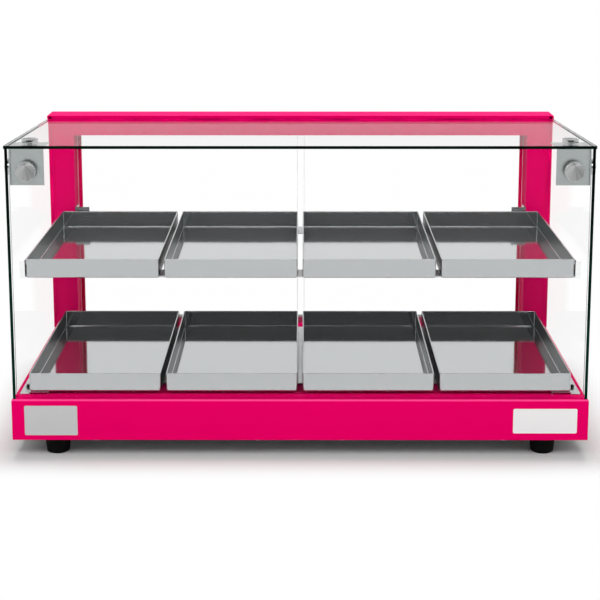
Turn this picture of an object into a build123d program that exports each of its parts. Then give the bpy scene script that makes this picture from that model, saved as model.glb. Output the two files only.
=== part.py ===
from build123d import *
import math
import os

os.makedirs("parts", exist_ok=True)

# Countertop display case: a folded steel base on rubber feet, a steel rear frame with two
# sliding doors, four glass panes held by corner brackets, and two rows of loose steel trays.
# The frame is +Z up with the customer's side towards -Y. The origin is on the ground, below
# the middle of the whole object's box.

# Overall sizes
case_width = 780
case_depth = 400
base_height = 57
foot_height = 26
sheet = 1.5

# Base
base_edge_radius = 3.5
base_corner_radius = 2.5
bottom_flange_width = 15
bottom_plate_clearance = 0.5
slot_length = 120
slot_width = 8
slot_pitch = 36
slot_rows = 7

# Feet
foot_top_diameter = 36.7
foot_bottom_diameter = 31
foot_edge_radius = 2.5
foot_side_inset = 57
foot_end_inset = 32
foot_screw_diameter = 6
foot_screw_head_diameter = 12
foot_screw_head_height = 4
foot_screw_recess = 16
foot_nut_width = 10
foot_nut_height = 5

# Small screws
screw_diameter = 4
screw_head_diameter = 7.5
screw_head_height = 2.4
screw_head_fillet = 1
screw_grip = 3
hole_clearance = 0.2

# Rear frame
frame_depth = 47
post_width = 40.1
post_strip_width = 10
groove_width = 1.2
groove_depth = 0.8
header_face_height = 33
header_tube_height = 20
jamb_lip = 5
frame_height = 337
post_screw_spacing = 18

# Glass
glass = 4
glass_clearance = 0.3
glass_slot_depth = 5
side_glass_inset = 2.5
side_glass_setback = 2
front_glass_setback = 6
front_glass_side_gap = 0.4
top_glass_overhang = 1
top_glass_setback = 0.5
top_glass_rise = 5.3
top_glass_fall = 14
glass_edge_chamfer = 0.5

# Corner brackets and their buttons
bracket_width = 46
bracket_height = 50
bracket_sheet = 1.5
button_inset = 30
button_drop = 34
button_setback = 38
front_button_diameter = 26
front_button_height = 8
small_button_diameter = 22
small_button_height = 5.7
button_chamfer = 0.8
stud_diameter = 6
stud_clearance = 0.3
glass_hole_clearance = 1
button_nut_width = 10
button_nut_height = 4

# Doors
acrylic = 3
door_overlap = 11
door_overlap_centre = 0.5
door_end_gap = 0.5
door_bottom_gap = 0.3
door_top_gap = 2.5
door_edge_chamfer = 0.4
groove_gap = 0.5
track_rib = 2
lower_track_height = 9.5
upper_track_height = 16
track_setback = 28
finger_hole_diameter = 26
finger_hole_inset = 26
finger_hole_height = 127

# Trays
tray_count = 4
tray_side_room = 21.5
tray_rear_room = 11
tray_height = 26
tray_sheet = 1
tray_gap = 7
tray_setback = 22
tray_corner_radius = 1.6
tray_seat_height = 4
upper_tray_height = 163.4

# Upper shelf
shelf_arm_gap = 6.5
shelf_sheet = 1.2
shelf_arm_flange = 22
shelf_arm_end_width = 20
shelf_arm_rise = 17
shelf_arm_cap_rise = 23
shelf_arm_cap_gap = 0.5
shelf_arm_step = 22
shelf_arm_setback = 20
shelf_rail_thickness = 2
shelf_front_rail_depth = 36
shelf_front_rail_setback = 12
shelf_rear_rail_depth = 46
rear_rail_room = 2.5
shelf_rail_corner_gap = 0.3
hook_width = 22
hook_rise = 5
hook_sheet = 2
hook_reach = 20
arm_screw_spacing = 9
arm_screw_rise = 8
hook_screw_drop = 8

# Lower deck rails
deck_rail_sheet = 1.2
deck_rail_flange = 14
deck_rail_top = 25
deck_rail_gap = 1.5
middle_rail_width = 30
middle_rail_setback = 60
rail_screw_setback = 50
rail_screw_head_diameter = 5.8
rail_screw_head_height = 4
rail_screw_diameter = 3

# Bare label plates
plate_thickness = 0.4
plate_corner_radius = 2
left_plate_width = 71.5
left_plate_height = 41.6
left_plate_inset = 17.5
left_plate_lift = 6.7
right_plate_width = 86.4
right_plate_height = 34.7
right_plate_inset = 15.6
right_plate_lift = 9.6

# Heating and controls inside the base
reflector_sheet = 1
reflector_side_room = 45
reflector_block_gap = 9.5
reflector_setback = 45
reflector_height = 18
reflector_foot = 15
element_diameter = 8
element_height = 36
element_pitch = 160
element_setback = 110
element_side_room = 95
element_clearance = 0.2
element_bracket_width = 24
element_bracket_margin = 12
element_bracket_inset = 35
terminal_diameter = 11
terminal_length = 14
thermostat_width = 40
thermostat_height = 34
thermostat_depth = 34
thermostat_inset = 175
control_height = 28
shaft_diameter = 6
shaft_clearance = 0.05
shaft_depth = 12
knob_diameter = 40
knob_height = 18
knob_gap = 1
knob_taper = 1.5
knob_edge_radius = 2
knob_wall = 4
knob_grip_count = 24
knob_grip_radius = 1.2
terminal_block_width = 44
terminal_block_depth = 24
terminal_block_height = 18
terminal_block_clear = 30
terminal_entry_height = 13
gland_inset = 100
gland_thread_diameter = 16
gland_hex_width = 20
gland_hex_height = 6
gland_cap_diameter = 18
gland_cap_height = 9
gland_bore_diameter = 8.5
gland_thread_length = 12
gland_nut_width = 22
gland_nut_height = 5
gland_clearance = 0.2
lamp_inset = 230
lamp_body_diameter = 12
lamp_body_length = 22
lamp_bezel_diameter = 15
lamp_bezel_height = 2.5
lamp_lens_diameter = 11
lamp_lens_height = 3.5
wire_diameter = 3
wire_bend = 8

# Places that follow from the sizes above
front_reach = front_button_height - front_glass_setback
rear_reach = knob_gap + knob_height
y_front = (front_reach - case_depth - rear_reach) / 2
y_back = y_front + case_depth
x_side = case_width / 2
z_base = foot_height
z_deck = foot_height + base_height
y_post = y_back - frame_depth
x_post = x_side - post_width
z_cap = z_deck + frame_height
post_depth = frame_depth - sheet
post_height = frame_height - sheet
z_header_web = z_cap - header_tube_height
x_glass = x_side - side_glass_inset
x_glass_inner = x_glass - glass
x_top_glass = x_glass + top_glass_overhang
y_side_glass = y_front + side_glass_setback
y_front_glass = y_front + front_glass_setback
y_top_glass = y_front + top_glass_setback
z_glass_front = z_cap + top_glass_rise
glass_slope = math.atan(top_glass_fall / (y_post - y_top_glass))
glass_plane = Plane(
    origin=(0, y_top_glass, z_glass_front),
    x_dir=(1, 0, 0),
    z_dir=(0, math.sin(glass_slope), math.cos(glass_slope)),
)
z_lower_tray = z_deck + tray_seat_height
z_upper_tray = z_deck + upper_tray_height
y_tray = y_front + tray_setback
tray_width = (case_width - 2 * tray_side_room - (tray_count - 1) * tray_gap) / tray_count
tray_depth = case_depth - frame_depth - tray_setback - tray_rear_room
tray_pitch = tray_width + tray_gap
row_half_width = (tray_count * tray_pitch - tray_gap) / 2
tray_places = [(i - (tray_count - 1) / 2) * tray_pitch for i in range(tray_count)]
tray_joints = [(i - tray_count / 2 + 1) * tray_pitch for i in range(tray_count - 1)]
x_arm = row_half_width + shelf_arm_gap
z_shelf_rail = z_upper_tray - shelf_rail_thickness
z_shelf = z_shelf_rail - shelf_sheet
z_plate_top = z_base + sheet
x_foot = x_side - foot_side_inset
foot_places = [(x, y) for x in (-x_foot, x_foot) for y in (y_front + foot_end_inset, y_back - foot_end_inset)]
x_button = x_side - button_inset
thermostat_offset = x_side - thermostat_inset
gland_offset = x_side - gland_inset
lamp_offset = x_side - lamp_inset
y_button = y_front + button_setback
z_button = z_glass_front + glass - button_drop
z_control = z_base + control_height


def under_glass(y):
    """Height of the top pane's underside at a depth y."""
    return z_glass_front - (y - y_top_glass) * math.tan(glass_slope)


def span(low, high):
    """Middle and length of a stretch."""
    return (low + high) / 2, high - low


def block(x0, x1, y0, y1, z0, z1, mode=Mode.ADD):
    """A straight block between two corners, added to the part being built."""
    x, length = span(x0, x1)
    y, width = span(y0, y1)
    with BuildSketch(Plane.XY.offset(z0)) as outline:
        with Locations((x, y)):
            Rectangle(length, width)
    extrude(outline.sketch, amount=z1 - z0, mode=mode)


def rod(place, direction, diameter, length, mode=Mode.ADD):
    """A round bar from a place along a direction."""
    with BuildSketch(Plane(origin=place, z_dir=direction)) as outline:
        Circle(diameter / 2)
    extrude(outline.sketch, amount=length, mode=mode)


def hexagon_bar(place, direction, width, length):
    """A six-sided bar, its width measured across the flats."""
    with BuildSketch(Plane(origin=place, z_dir=direction)) as outline:
        RegularPolygon(width / 2, 6, major_radius=False)
    extrude(outline.sketch, amount=length)


def screw(place, direction, head_diameter, head_height, shank_diameter, shank_length):
    """A round-headed screw: the place is under its head, the direction points out of the head."""
    into = tuple(-c for c in direction)
    rod(place, direction, head_diameter, head_height)
    rod(place, into, shank_diameter, shank_length)


# Base shell: a folded box, open below, with a return flange for the bottom plate
with BuildPart() as base_shell:
    block(-x_side, x_side, y_front, y_back, z_base, z_deck)
    fillet(base_shell.edges().filter_by(Axis.Z), radius=base_corner_radius)
    fillet(base_shell.faces().sort_by(Axis.Z)[-1].edges(), radius=base_edge_radius)
    offset(amount=-sheet, openings=base_shell.faces().sort_by(Axis.Z)[0])
    inner_x = x_side - sheet
    flange_z = z_plate_top
    block(-inner_x, inner_x, y_front + sheet, y_front + sheet + bottom_flange_width, flange_z, flange_z + sheet)
    block(-inner_x, inner_x, y_back - sheet - bottom_flange_width, y_back - sheet, flange_z, flange_z + sheet)
    with BuildSketch(Plane.XY.offset(z_deck)):
        for x in tray_places:
            with Locations((x, y_tray + tray_depth / 2)):
                with GridLocations(slot_length, slot_pitch, 1, slot_rows):
                    SlotOverall(slot_length, slot_width)
    extrude(amount=-sheet, mode=Mode.SUBTRACT)
    plate_screw_places = [
        (x, y)
        for x in (-x_foot + foot_side_inset, -foot_side_inset, foot_side_inset, x_foot - foot_side_inset)
        for y in (y_front + sheet + bottom_flange_width / 2, y_back - sheet - bottom_flange_width / 2)
    ]
    for x, y in plate_screw_places:
        rod((x, y, flange_z), (0, 0, 1), screw_diameter + hole_clearance, sheet, Mode.SUBTRACT)
    post_screw_x = x_side - post_width / 2
    post_screw_places = [
        (side * post_screw_x + dx, y_post + frame_depth / 2)
        for side in (-1, 1)
        for dx in (-post_screw_spacing / 2, post_screw_spacing / 2)
    ]
    for x, y in post_screw_places:
        rod((x, y, z_deck - sheet), (0, 0, 1), screw_diameter + hole_clearance, sheet, Mode.SUBTRACT)
    rail_screw_x = x_glass_inner - deck_rail_gap - deck_rail_flange / 2
    rail_screw_places = [
        (side * rail_screw_x, y)
        for side in (-1, 1)
        for y in (y_front + rail_screw_setback, y_tray + tray_depth - rail_screw_setback)
    ]
    for x, y in rail_screw_places:
        rod((x, y, z_deck - sheet), (0, 0, 1), rail_screw_diameter + hole_clearance, sheet, Mode.SUBTRACT)
    rear_wall = y_back - sheet
    rod((thermostat_offset, rear_wall, z_control), (0, 1, 0), shaft_diameter + 2, sheet, Mode.SUBTRACT)
    gland_hole = gland_thread_diameter + hole_clearance
    rod((gland_offset, rear_wall, z_control), (0, 1, 0), gland_hole, sheet, Mode.SUBTRACT)
    rod((lamp_offset, rear_wall, z_control), (0, 1, 0), lamp_body_diameter + hole_clearance, sheet, Mode.SUBTRACT)
base_shell.part.label = "base_shell"
export_step(base_shell.part, "parts/base_shell.step")

# Bottom plate: lies inside the walls, against the flanges
with BuildPart() as bottom_plate:
    plate_x = x_side - sheet - bottom_plate_clearance
    plate_y0 = y_front + sheet + bottom_plate_clearance
    plate_y1 = y_back - sheet - bottom_plate_clearance
    block(-plate_x, plate_x, plate_y0, plate_y1, z_base, z_plate_top)
    for x, y in plate_screw_places:
        rod((x, y, z_base), (0, 0, 1), screw_diameter + hole_clearance, sheet, Mode.SUBTRACT)
    for x, y in foot_places:
        rod((x, y, z_base), (0, 0, 1), foot_screw_diameter + hole_clearance, sheet, Mode.SUBTRACT)
bottom_plate.part.label = "bottom_plate"
export_step(bottom_plate.part, "parts/bottom_plate.step")

with BuildPart() as bottom_plate_screws:
    for x, y in plate_screw_places:
        screw((x, y, z_base), (0, 0, -1), screw_head_diameter, screw_head_height, screw_diameter, 2 * sheet + screw_grip)
bottom_plate_screws.part.label = "bottom_plate_screws"
export_step(bottom_plate_screws.part, "parts/bottom_plate_screws.step")

# Rubber feet: tapered, hollow from below for their screws
with BuildPart() as rubber_feet:
    for x, y in foot_places:
        with BuildSketch(Plane.XY):
            with Locations((x, y)):
                Circle(foot_bottom_diameter / 2)
        with BuildSketch(Plane.XY.offset(foot_height)):
            with Locations((x, y)):
                Circle(foot_top_diameter / 2)
        loft()
    fillet(rubber_feet.edges().filter_by(GeomType.CIRCLE).group_by(Axis.Z)[0], radius=foot_edge_radius)
    for x, y in foot_places:
        rod((x, y, 0), (0, 0, 1), foot_screw_head_diameter + 1, foot_screw_recess, Mode.SUBTRACT)
        rod((x, y, 0), (0, 0, 1), foot_screw_diameter + hole_clearance, foot_height, Mode.SUBTRACT)
rubber_feet.part.label = "rubber_feet"
export_step(rubber_feet.part, "parts/rubber_feet.step")

with BuildPart() as foot_screws:
    shank = foot_height - foot_screw_recess + sheet + foot_nut_height + 1
    for x, y in foot_places:
        place = (x, y, foot_screw_recess)
        screw(place, (0, 0, -1), foot_screw_head_diameter, foot_screw_head_height, foot_screw_diameter, shank)
foot_screws.part.label = "foot_screws"
export_step(foot_screws.part, "parts/foot_screws.step")

with BuildPart() as foot_nuts:
    for x, y in foot_places:
        hexagon_bar((x, y, z_plate_top), (0, 0, 1), foot_nut_width, foot_nut_height)
        rod((x, y, z_plate_top), (0, 0, 1), foot_screw_diameter + hole_clearance, foot_nut_height, Mode.SUBTRACT)
foot_nuts.part.label = "foot_nuts"
export_step(foot_nuts.part, "parts/foot_nuts.step")


def cut_glass_slot():
    """Cut the tilted slot that the top pane's rear edge slides into."""
    slot_base = glass_plane.offset(-glass_clearance)
    with BuildSketch(slot_base) as outline:
        with Locations((0, (y_post - y_top_glass) / math.cos(glass_slope))):
            Rectangle(2 * (x_top_glass + glass_clearance), 2 * (glass_slot_depth + glass_clearance))
    extrude(outline.sketch, amount=glass + 2 * glass_clearance, mode=Mode.SUBTRACT)


arm_screw_middle = x_arm - shelf_arm_end_width / 2
arm_screw_columns = (arm_screw_middle - arm_screw_spacing / 2, arm_screw_middle + arm_screw_spacing / 2)
arm_screw_height = z_upper_tray + arm_screw_rise
hook_height = tray_height + hook_rise
hook_screw_height = z_upper_tray + hook_height - hook_screw_drop
hook_screw_y = y_post + hook_reach / 2


def rear_post(side):
    """One post of the rear frame: a folded channel, open behind, with a foot flange."""
    outer, inner = side * x_side, side * x_post
    low, high = min(outer, inner), max(outer, inner)
    with BuildPart() as post:
        block(low, high, y_post, y_post + post_depth, z_deck, z_deck + post_height)
        block(low + sheet, high - sheet, y_post + sheet, y_post + post_depth, z_deck + sheet,
              z_deck + post_height, Mode.SUBTRACT)
        groove_x = side * (x_side - post_strip_width)
        block(groove_x - groove_width / 2, groove_x + groove_width / 2, y_post, y_post + groove_depth,
              z_deck, z_deck + post_height, Mode.SUBTRACT)
        slot_x, slot_thickness = side * (x_glass - glass / 2), glass + 2 * glass_clearance
        block(slot_x - slot_thickness / 2, slot_x + slot_thickness / 2, y_post,
              y_post + glass_slot_depth + glass_clearance, z_deck, z_deck + post_height, Mode.SUBTRACT)
        cut_glass_slot()
        for dx in (-post_screw_spacing / 2, post_screw_spacing / 2):
            foot_screw_place = (side * post_screw_x + dx, y_post + frame_depth / 2, z_deck)
            rod(foot_screw_place, (0, 0, 1), screw_diameter + hole_clearance, sheet, Mode.SUBTRACT)
        for column in arm_screw_columns:
            place = (side * column, y_post, arm_screw_height)
            rod(place, (0, 1, 0), screw_diameter + hole_clearance, sheet, Mode.SUBTRACT)
        hook_place = (inner, hook_screw_y, hook_screw_height)
        rod(hook_place, (side, 0, 0), screw_diameter + hole_clearance, sheet, Mode.SUBTRACT)
    return post


left_post = rear_post(-1)
left_post.part.label = "left_post"
export_step(left_post.part, "parts/left_post.step")

right_post = rear_post(1)
right_post.part.label = "right_post"
export_step(right_post.part, "parts/right_post.step")

with BuildPart() as post_screws:
    for x, y in post_screw_places:
        place = (x, y, z_deck - sheet)
        screw(place, (0, 0, -1), screw_head_diameter, screw_head_height, screw_diameter, 2 * sheet + screw_grip)
post_screws.part.label = "post_screws"
export_step(post_screws.part, "parts/post_screws.step")

# Rear covers of the posts: each stands past its post as a lip that the doors close against
with BuildPart() as post_covers:
    for side in (-1, 1):
        outer, inner = side * x_side, side * (x_post - jamb_lip)
        block(min(outer, inner), max(outer, inner), y_back - sheet, y_back, z_deck, z_deck + post_height)
post_covers.part.label = "post_covers"
export_step(post_covers.part, "parts/post_covers.step")

# Header: a square tube between the posts, with a face that hangs below it
with BuildPart() as header:
    z_header_top = z_cap - sheet
    block(-x_post, x_post, y_post, y_back - sheet, z_header_web, z_header_top)
    block(-x_post, x_post, y_post + sheet, y_back - 2 * sheet, z_header_web + sheet, z_header_top, Mode.SUBTRACT)
    block(-x_post, x_post, y_post, y_post + sheet, z_cap - header_face_height, z_header_web)
    cut_glass_slot()
header.part.label = "header"
export_step(header.part, "parts/header.step")

# Cap: the flat top of the rear frame
with BuildPart() as frame_cap:
    block(-x_side, x_side, y_post, y_back, z_cap - sheet, z_cap)
    chamfer(frame_cap.edges().filter_by(Axis.Y).group_by(Axis.Z)[-1], length=sheet / 2)
frame_cap.part.label = "frame_cap"
export_step(frame_cap.part, "parts/frame_cap.step")

# Door tracks: two grooves each, for two panels that pass one another
y_track = y_post + track_setback
groove_opening = acrylic + 2 * groove_gap
track_depth = 3 * track_rib + 2 * groove_opening
y_left_door = y_track + track_rib + groove_gap
y_right_door = y_left_door + groove_opening + track_rib
groove_starts = (y_track + track_rib, y_track + 2 * track_rib + groove_opening)

with BuildPart() as lower_door_track:
    block(-x_post, x_post, y_track, y_track + track_depth, z_deck, z_deck + lower_track_height)
    for start in groove_starts:
        block(-x_post, x_post, start, start + groove_opening, z_deck + sheet, z_deck + lower_track_height, Mode.SUBTRACT)
lower_door_track.part.label = "lower_door_track"
export_step(lower_door_track.part, "parts/lower_door_track.step")

z_upper_track = z_header_web - upper_track_height
with BuildPart() as upper_door_track:
    block(-x_post, x_post, y_track, y_track + track_depth, z_upper_track, z_header_web)
    for start in groove_starts:
        block(-x_post, x_post, start, start + groove_opening, z_upper_track, z_header_web - sheet, Mode.SUBTRACT)
upper_door_track.part.label = "upper_door_track"
export_step(upper_door_track.part, "parts/upper_door_track.step")

# Sliding doors: clear acrylic with a finger hole near the outer end
z_door = z_deck + sheet + door_bottom_gap
door_top = z_header_web - sheet - door_top_gap
x_door_end = x_post - door_end_gap
left_door_end = door_overlap_centre + door_overlap / 2
right_door_end = door_overlap_centre - door_overlap / 2
x_finger_hole = x_door_end - finger_hole_inset
z_finger_hole = z_deck + finger_hole_height

with BuildPart() as left_door:
    block(-x_door_end, left_door_end, y_left_door, y_left_door + acrylic, z_door, door_top)
    chamfer(left_door.edges().filter_by(Axis.Z), length=door_edge_chamfer)
    place = (-x_finger_hole, y_left_door, z_finger_hole)
    rod(place, (0, 1, 0), finger_hole_diameter, acrylic, Mode.SUBTRACT)
left_door.part.label = "left_door"
export_step(left_door.part, "parts/left_door.step")

with BuildPart() as right_door:
    block(right_door_end, x_door_end, y_right_door, y_right_door + acrylic, z_door, door_top)
    chamfer(right_door.edges().filter_by(Axis.Z), length=door_edge_chamfer)
    place = (x_finger_hole, y_right_door, z_finger_hole)
    rod(place, (0, 1, 0), finger_hole_diameter, acrylic, Mode.SUBTRACT)
right_door.part.label = "right_door"
export_step(right_door.part, "parts/right_door.step")


def side_glass(side):
    """One side pane: its top edge follows the fall of the top pane."""
    rear = y_post + glass_slot_depth
    with BuildPart() as pane:
        with BuildSketch(Plane.YZ.offset(side * (x_glass - glass / 2))):
            with BuildLine():
                Polyline(
                    (y_side_glass, z_deck),
                    (rear, z_deck),
                    (rear, under_glass(rear)),
                    (y_side_glass, under_glass(y_side_glass)),
                    close=True,
                )
            make_face()
            with Locations((y_button, z_button)):
                Circle((stud_diameter + glass_hole_clearance) / 2, mode=Mode.SUBTRACT)
        extrude(amount=glass / 2, both=True)
        front_edge = pane.faces().sort_by(Axis.Y)[0]
        chamfer(front_edge.edges().filter_by(Axis.Z), length=glass_edge_chamfer)
    return pane


left_side_glass = side_glass(-1)
left_side_glass.part.label = "left_side_glass"
export_step(left_side_glass.part, "parts/left_side_glass.step")

right_side_glass = side_glass(1)
right_side_glass.part.label = "right_side_glass"
export_step(right_side_glass.part, "parts/right_side_glass.step")

# Front pane: stands on the base between the side panes
x_front_glass = x_glass_inner - front_glass_side_gap
with BuildPart() as front_glass:
    block(-x_front_glass, x_front_glass, y_front_glass, y_front_glass + glass, z_deck,
          under_glass(y_front_glass + glass))
    for side in (-1, 1):
        place = (side * x_button, y_front_glass, z_button)
        rod(place, (0, 1, 0), stud_diameter + glass_hole_clearance, glass, Mode.SUBTRACT)
front_glass.part.label = "front_glass"
export_step(front_glass.part, "parts/front_glass.step")

# Top pane: lies on the side panes and falls towards the rear frame
top_glass_length = (y_post + glass_slot_depth - y_top_glass) / math.cos(glass_slope)
top_button_distance = (y_button - y_top_glass) / math.cos(glass_slope)
with BuildPart() as top_glass:
    with BuildSketch(glass_plane):
        Rectangle(2 * x_top_glass, top_glass_length, align=(Align.CENTER, Align.MIN))
        with Locations((-x_button, top_button_distance), (x_button, top_button_distance)):
            Circle((stud_diameter + glass_hole_clearance) / 2, mode=Mode.SUBTRACT)
    extrude(amount=glass)
    front_face = top_glass.faces().sort_by(Axis.Y)[0]
    chamfer(front_face.edges().filter_by(Axis.X), length=glass_edge_chamfer)
top_glass.part.label = "top_glass"
export_step(top_glass.part, "parts/top_glass.step")

y_bracket = y_front_glass + glass
x_bracket = x_glass_inner


def corner_bracket(side):
    """A folded bracket with three flanges, behind the front pane, under the top and beside the side."""
    outer, inner = side * x_bracket, side * (x_bracket - bracket_width)
    low, high = min(outer, inner), max(outer, inner)
    z_low = z_glass_front - bracket_height
    y_far = y_bracket + bracket_height
    with BuildPart() as bracket:
        block(low, high, y_bracket, y_bracket + bracket_sheet, z_low, under_glass(y_bracket + bracket_sheet))
        with BuildSketch(Plane.YZ.offset(outer)):
            with BuildLine():
                Polyline(
                    (y_bracket, z_low),
                    (y_far, z_low),
                    (y_far, under_glass(y_far)),
                    (y_bracket, under_glass(y_bracket)),
                    close=True,
                )
            make_face()
        extrude(amount=-side * bracket_sheet)
        with BuildSketch(glass_plane):
            top_start = (y_bracket - y_top_glass) / math.cos(glass_slope)
            with Locations(((low + high) / 2, top_start + (bracket_height + bracket_sheet) / 2)):
                Rectangle(bracket_width, bracket_height - bracket_sheet)
        extrude(amount=-bracket_sheet)
        hole = stud_diameter + stud_clearance
        rod((side * x_button, y_bracket, z_button), (0, 1, 0), hole, bracket_sheet, Mode.SUBTRACT)
        rod((outer, y_button, z_button), (-side, 0, 0), hole, bracket_sheet, Mode.SUBTRACT)
        with BuildSketch(glass_plane):
            with Locations((side * x_button, top_button_distance)):
                Circle(hole / 2)
        extrude(amount=-bracket_sheet, mode=Mode.SUBTRACT)
    return bracket


left_corner_bracket = corner_bracket(-1)
left_corner_bracket.part.label = "left_corner_bracket"
export_step(left_corner_bracket.part, "parts/left_corner_bracket.step")

right_corner_bracket = corner_bracket(1)
right_corner_bracket.part.label = "right_corner_bracket"
export_step(right_corner_bracket.part, "parts/right_corner_bracket.step")

# Glass buttons: a turned head outside the glass on a threaded stud
stud_length = glass + bracket_sheet + button_nut_height + 1
top_button_planes = [
    Plane(
        origin=glass_plane.from_local_coords((side * x_button, top_button_distance, glass)),
        x_dir=glass_plane.x_dir,
        z_dir=glass_plane.z_dir,
    )
    for side in (-1, 1)
]
front_button_planes = [
    Plane(origin=(side * x_button, y_front_glass, z_button), x_dir=(1, 0, 0), z_dir=(0, -1, 0)) for side in (-1, 1)
]
side_button_planes = [
    Plane(origin=(side * x_glass, y_button, z_button), x_dir=(0, 1, 0), z_dir=(side, 0, 0)) for side in (-1, 1)
]


def glass_buttons(planes, diameter, height):
    """A pair of buttons, each seated on the outer face of its pane."""
    with BuildPart() as pair:
        for plane in planes:
            with BuildSketch(plane):
                Circle(diameter / 2)
            extrude(amount=height, taper=0)
        for plane in planes:
            face = pair.faces().filter_by(GeomType.PLANE).sort_by_distance(plane.origin + plane.z_dir * height)[0]
            chamfer(face.edges(), length=button_chamfer)
        for plane in planes:
            with BuildSketch(plane):
                Circle(stud_diameter / 2)
            extrude(amount=-stud_length)
    return pair


front_glass_buttons = glass_buttons(front_button_planes, front_button_diameter, front_button_height)
front_glass_buttons.part.label = "front_glass_buttons"
export_step(front_glass_buttons.part, "parts/front_glass_buttons.step")

top_glass_buttons = glass_buttons(top_button_planes, small_button_diameter, small_button_height)
top_glass_buttons.part.label = "top_glass_buttons"
export_step(top_glass_buttons.part, "parts/top_glass_buttons.step")

side_glass_buttons = glass_buttons(side_button_planes, small_button_diameter, small_button_height)
side_glass_buttons.part.label = "side_glass_buttons"
export_step(side_glass_buttons.part, "parts/side_glass_buttons.step")

with BuildPart() as button_nuts:
    for plane in front_button_planes + top_button_planes + side_button_planes:
        nut_plane = plane.offset(-glass - bracket_sheet)
        with BuildSketch(nut_plane):
            RegularPolygon(button_nut_width / 2, 6, major_radius=False)
            Circle((stud_diameter + hole_clearance) / 2, mode=Mode.SUBTRACT)
        extrude(amount=-button_nut_height)
button_nuts.part.label = "button_nuts"
export_step(button_nuts.part, "parts/button_nuts.step")


def shelf_arm(side):
    """One arm of the upper shelf: an angle with a screwed tab behind and a cap in front of the gap."""
    outer, web = side * (x_arm + shelf_sheet), side * x_arm
    toe = side * (x_arm - shelf_arm_flange)
    tab = side * (x_arm - shelf_arm_end_width)
    cap = side * (row_half_width + shelf_arm_cap_gap)
    y0 = y_front + shelf_arm_setback
    y_step = y0 + shelf_arm_step
    z1 = z_upper_tray + shelf_arm_rise
    with BuildPart() as arm:
        block(min(outer, web), max(outer, web), y0, y_post, z_upper_tray, z1)
        block(min(outer, web), max(outer, web), y_step, y_post, z_shelf, z_upper_tray)
        block(min(outer, toe), max(outer, toe), y_step, y_post, z_shelf, z_shelf + shelf_sheet)
        block(min(outer, tab), max(outer, tab), y_post - shelf_sheet, y_post, z_shelf, z1)
        block(min(outer, cap), max(outer, cap), y0, y0 + shelf_sheet, z_upper_tray, z_upper_tray + shelf_arm_cap_rise)
        for column in arm_screw_columns:
            place = (side * column, y_post - shelf_sheet, arm_screw_height)
            rod(place, (0, 1, 0), screw_diameter + hole_clearance, shelf_sheet, Mode.SUBTRACT)
    return arm


left_shelf_arm = shelf_arm(-1)
left_shelf_arm.part.label = "left_shelf_arm"
export_step(left_shelf_arm.part, "parts/left_shelf_arm.step")

right_shelf_arm = shelf_arm(1)
right_shelf_arm.part.label = "right_shelf_arm"
export_step(right_shelf_arm.part, "parts/right_shelf_arm.step")

# Shelf rails: flat bars across the arms that the upper trays stand on
x_rail = x_arm - shelf_rail_corner_gap
y_front_rail = y_tray + shelf_front_rail_setback
y_rear_rail = y_post - rear_rail_room - shelf_rear_rail_depth
with BuildPart() as shelf_front_rail:
    block(-x_rail, x_rail, y_front_rail, y_front_rail + shelf_front_rail_depth, z_shelf_rail, z_upper_tray)
shelf_front_rail.part.label = "shelf_front_rail"
export_step(shelf_front_rail.part, "parts/shelf_front_rail.step")

with BuildPart() as shelf_rear_rail:
    block(-x_rail, x_rail, y_rear_rail, y_rear_rail + shelf_rear_rail_depth, z_shelf_rail, z_upper_tray)
shelf_rear_rail.part.label = "shelf_rear_rail"
export_step(shelf_rear_rail.part, "parts/shelf_rear_rail.step")

# Hooks: angles that stand on the rear rail and are screwed to the inner sides of the posts
y_hook = y_rear_rail + shelf_rear_rail_depth - hook_sheet
with BuildPart() as shelf_hooks:
    for side in (-1, 1):
        outer, leg, toe = side * x_post, side * (x_post - hook_sheet), side * (x_post - hook_width)
        z1 = z_upper_tray + hook_height
        block(min(outer, toe), max(outer, toe), y_hook, y_hook + hook_sheet, z_upper_tray, z1)
        block(min(outer, leg), max(outer, leg), y_hook, y_post + hook_reach, z_upper_tray, z1)
        place = (leg, hook_screw_y, hook_screw_height)
        rod(place, (side, 0, 0), screw_diameter + hole_clearance, hook_sheet, Mode.SUBTRACT)
shelf_hooks.part.label = "shelf_hooks"
export_step(shelf_hooks.part, "parts/shelf_hooks.step")

with BuildPart() as shelf_screws:
    for side in (-1, 1):
        for column in arm_screw_columns:
            place = (side * column, y_post - shelf_sheet, arm_screw_height)
            screw(place, (0, -1, 0), screw_head_diameter, screw_head_height, screw_diameter,
                  shelf_sheet + sheet + screw_grip)
        place = (side * (x_post - hook_sheet), hook_screw_y, hook_screw_height)
        screw(place, (-side, 0, 0), screw_head_diameter, screw_head_height, screw_diameter,
              hook_sheet + sheet + screw_grip)
shelf_screws.part.label = "shelf_screws"
export_step(shelf_screws.part, "parts/shelf_screws.step")


def deck_rail(side):
    """One side rail of the lower row: a step in section, screwed down by its outer flange."""
    x_outer = x_glass_inner - deck_rail_gap
    x_step = x_outer - deck_rail_flange
    t = deck_rail_sheet
    points = [
        (side * x_outer, z_deck),
        (side * x_outer, z_deck + t),
        (side * (x_step + t), z_deck + t),
        (side * (x_step + t), z_lower_tray),
        (side * (x_step - deck_rail_top), z_lower_tray),
        (side * (x_step - deck_rail_top), z_deck),
        (side * (x_step - deck_rail_top + t), z_deck),
        (side * (x_step - deck_rail_top + t), z_lower_tray - t),
        (side * x_step, z_lower_tray - t),
        (side * x_step, z_deck),
    ]
    with BuildPart() as rail:
        with BuildSketch(Plane.XZ.offset(-y_tray)):
            with BuildLine():
                Polyline(*points, close=True)
            make_face()
        extrude(amount=-tray_depth)
        for y in (y_front + rail_screw_setback, y_tray + tray_depth - rail_screw_setback):
            place = (side * rail_screw_x, y, z_deck)
            rod(place, (0, 0, 1), rail_screw_diameter + hole_clearance, t, Mode.SUBTRACT)
    return rail


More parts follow.
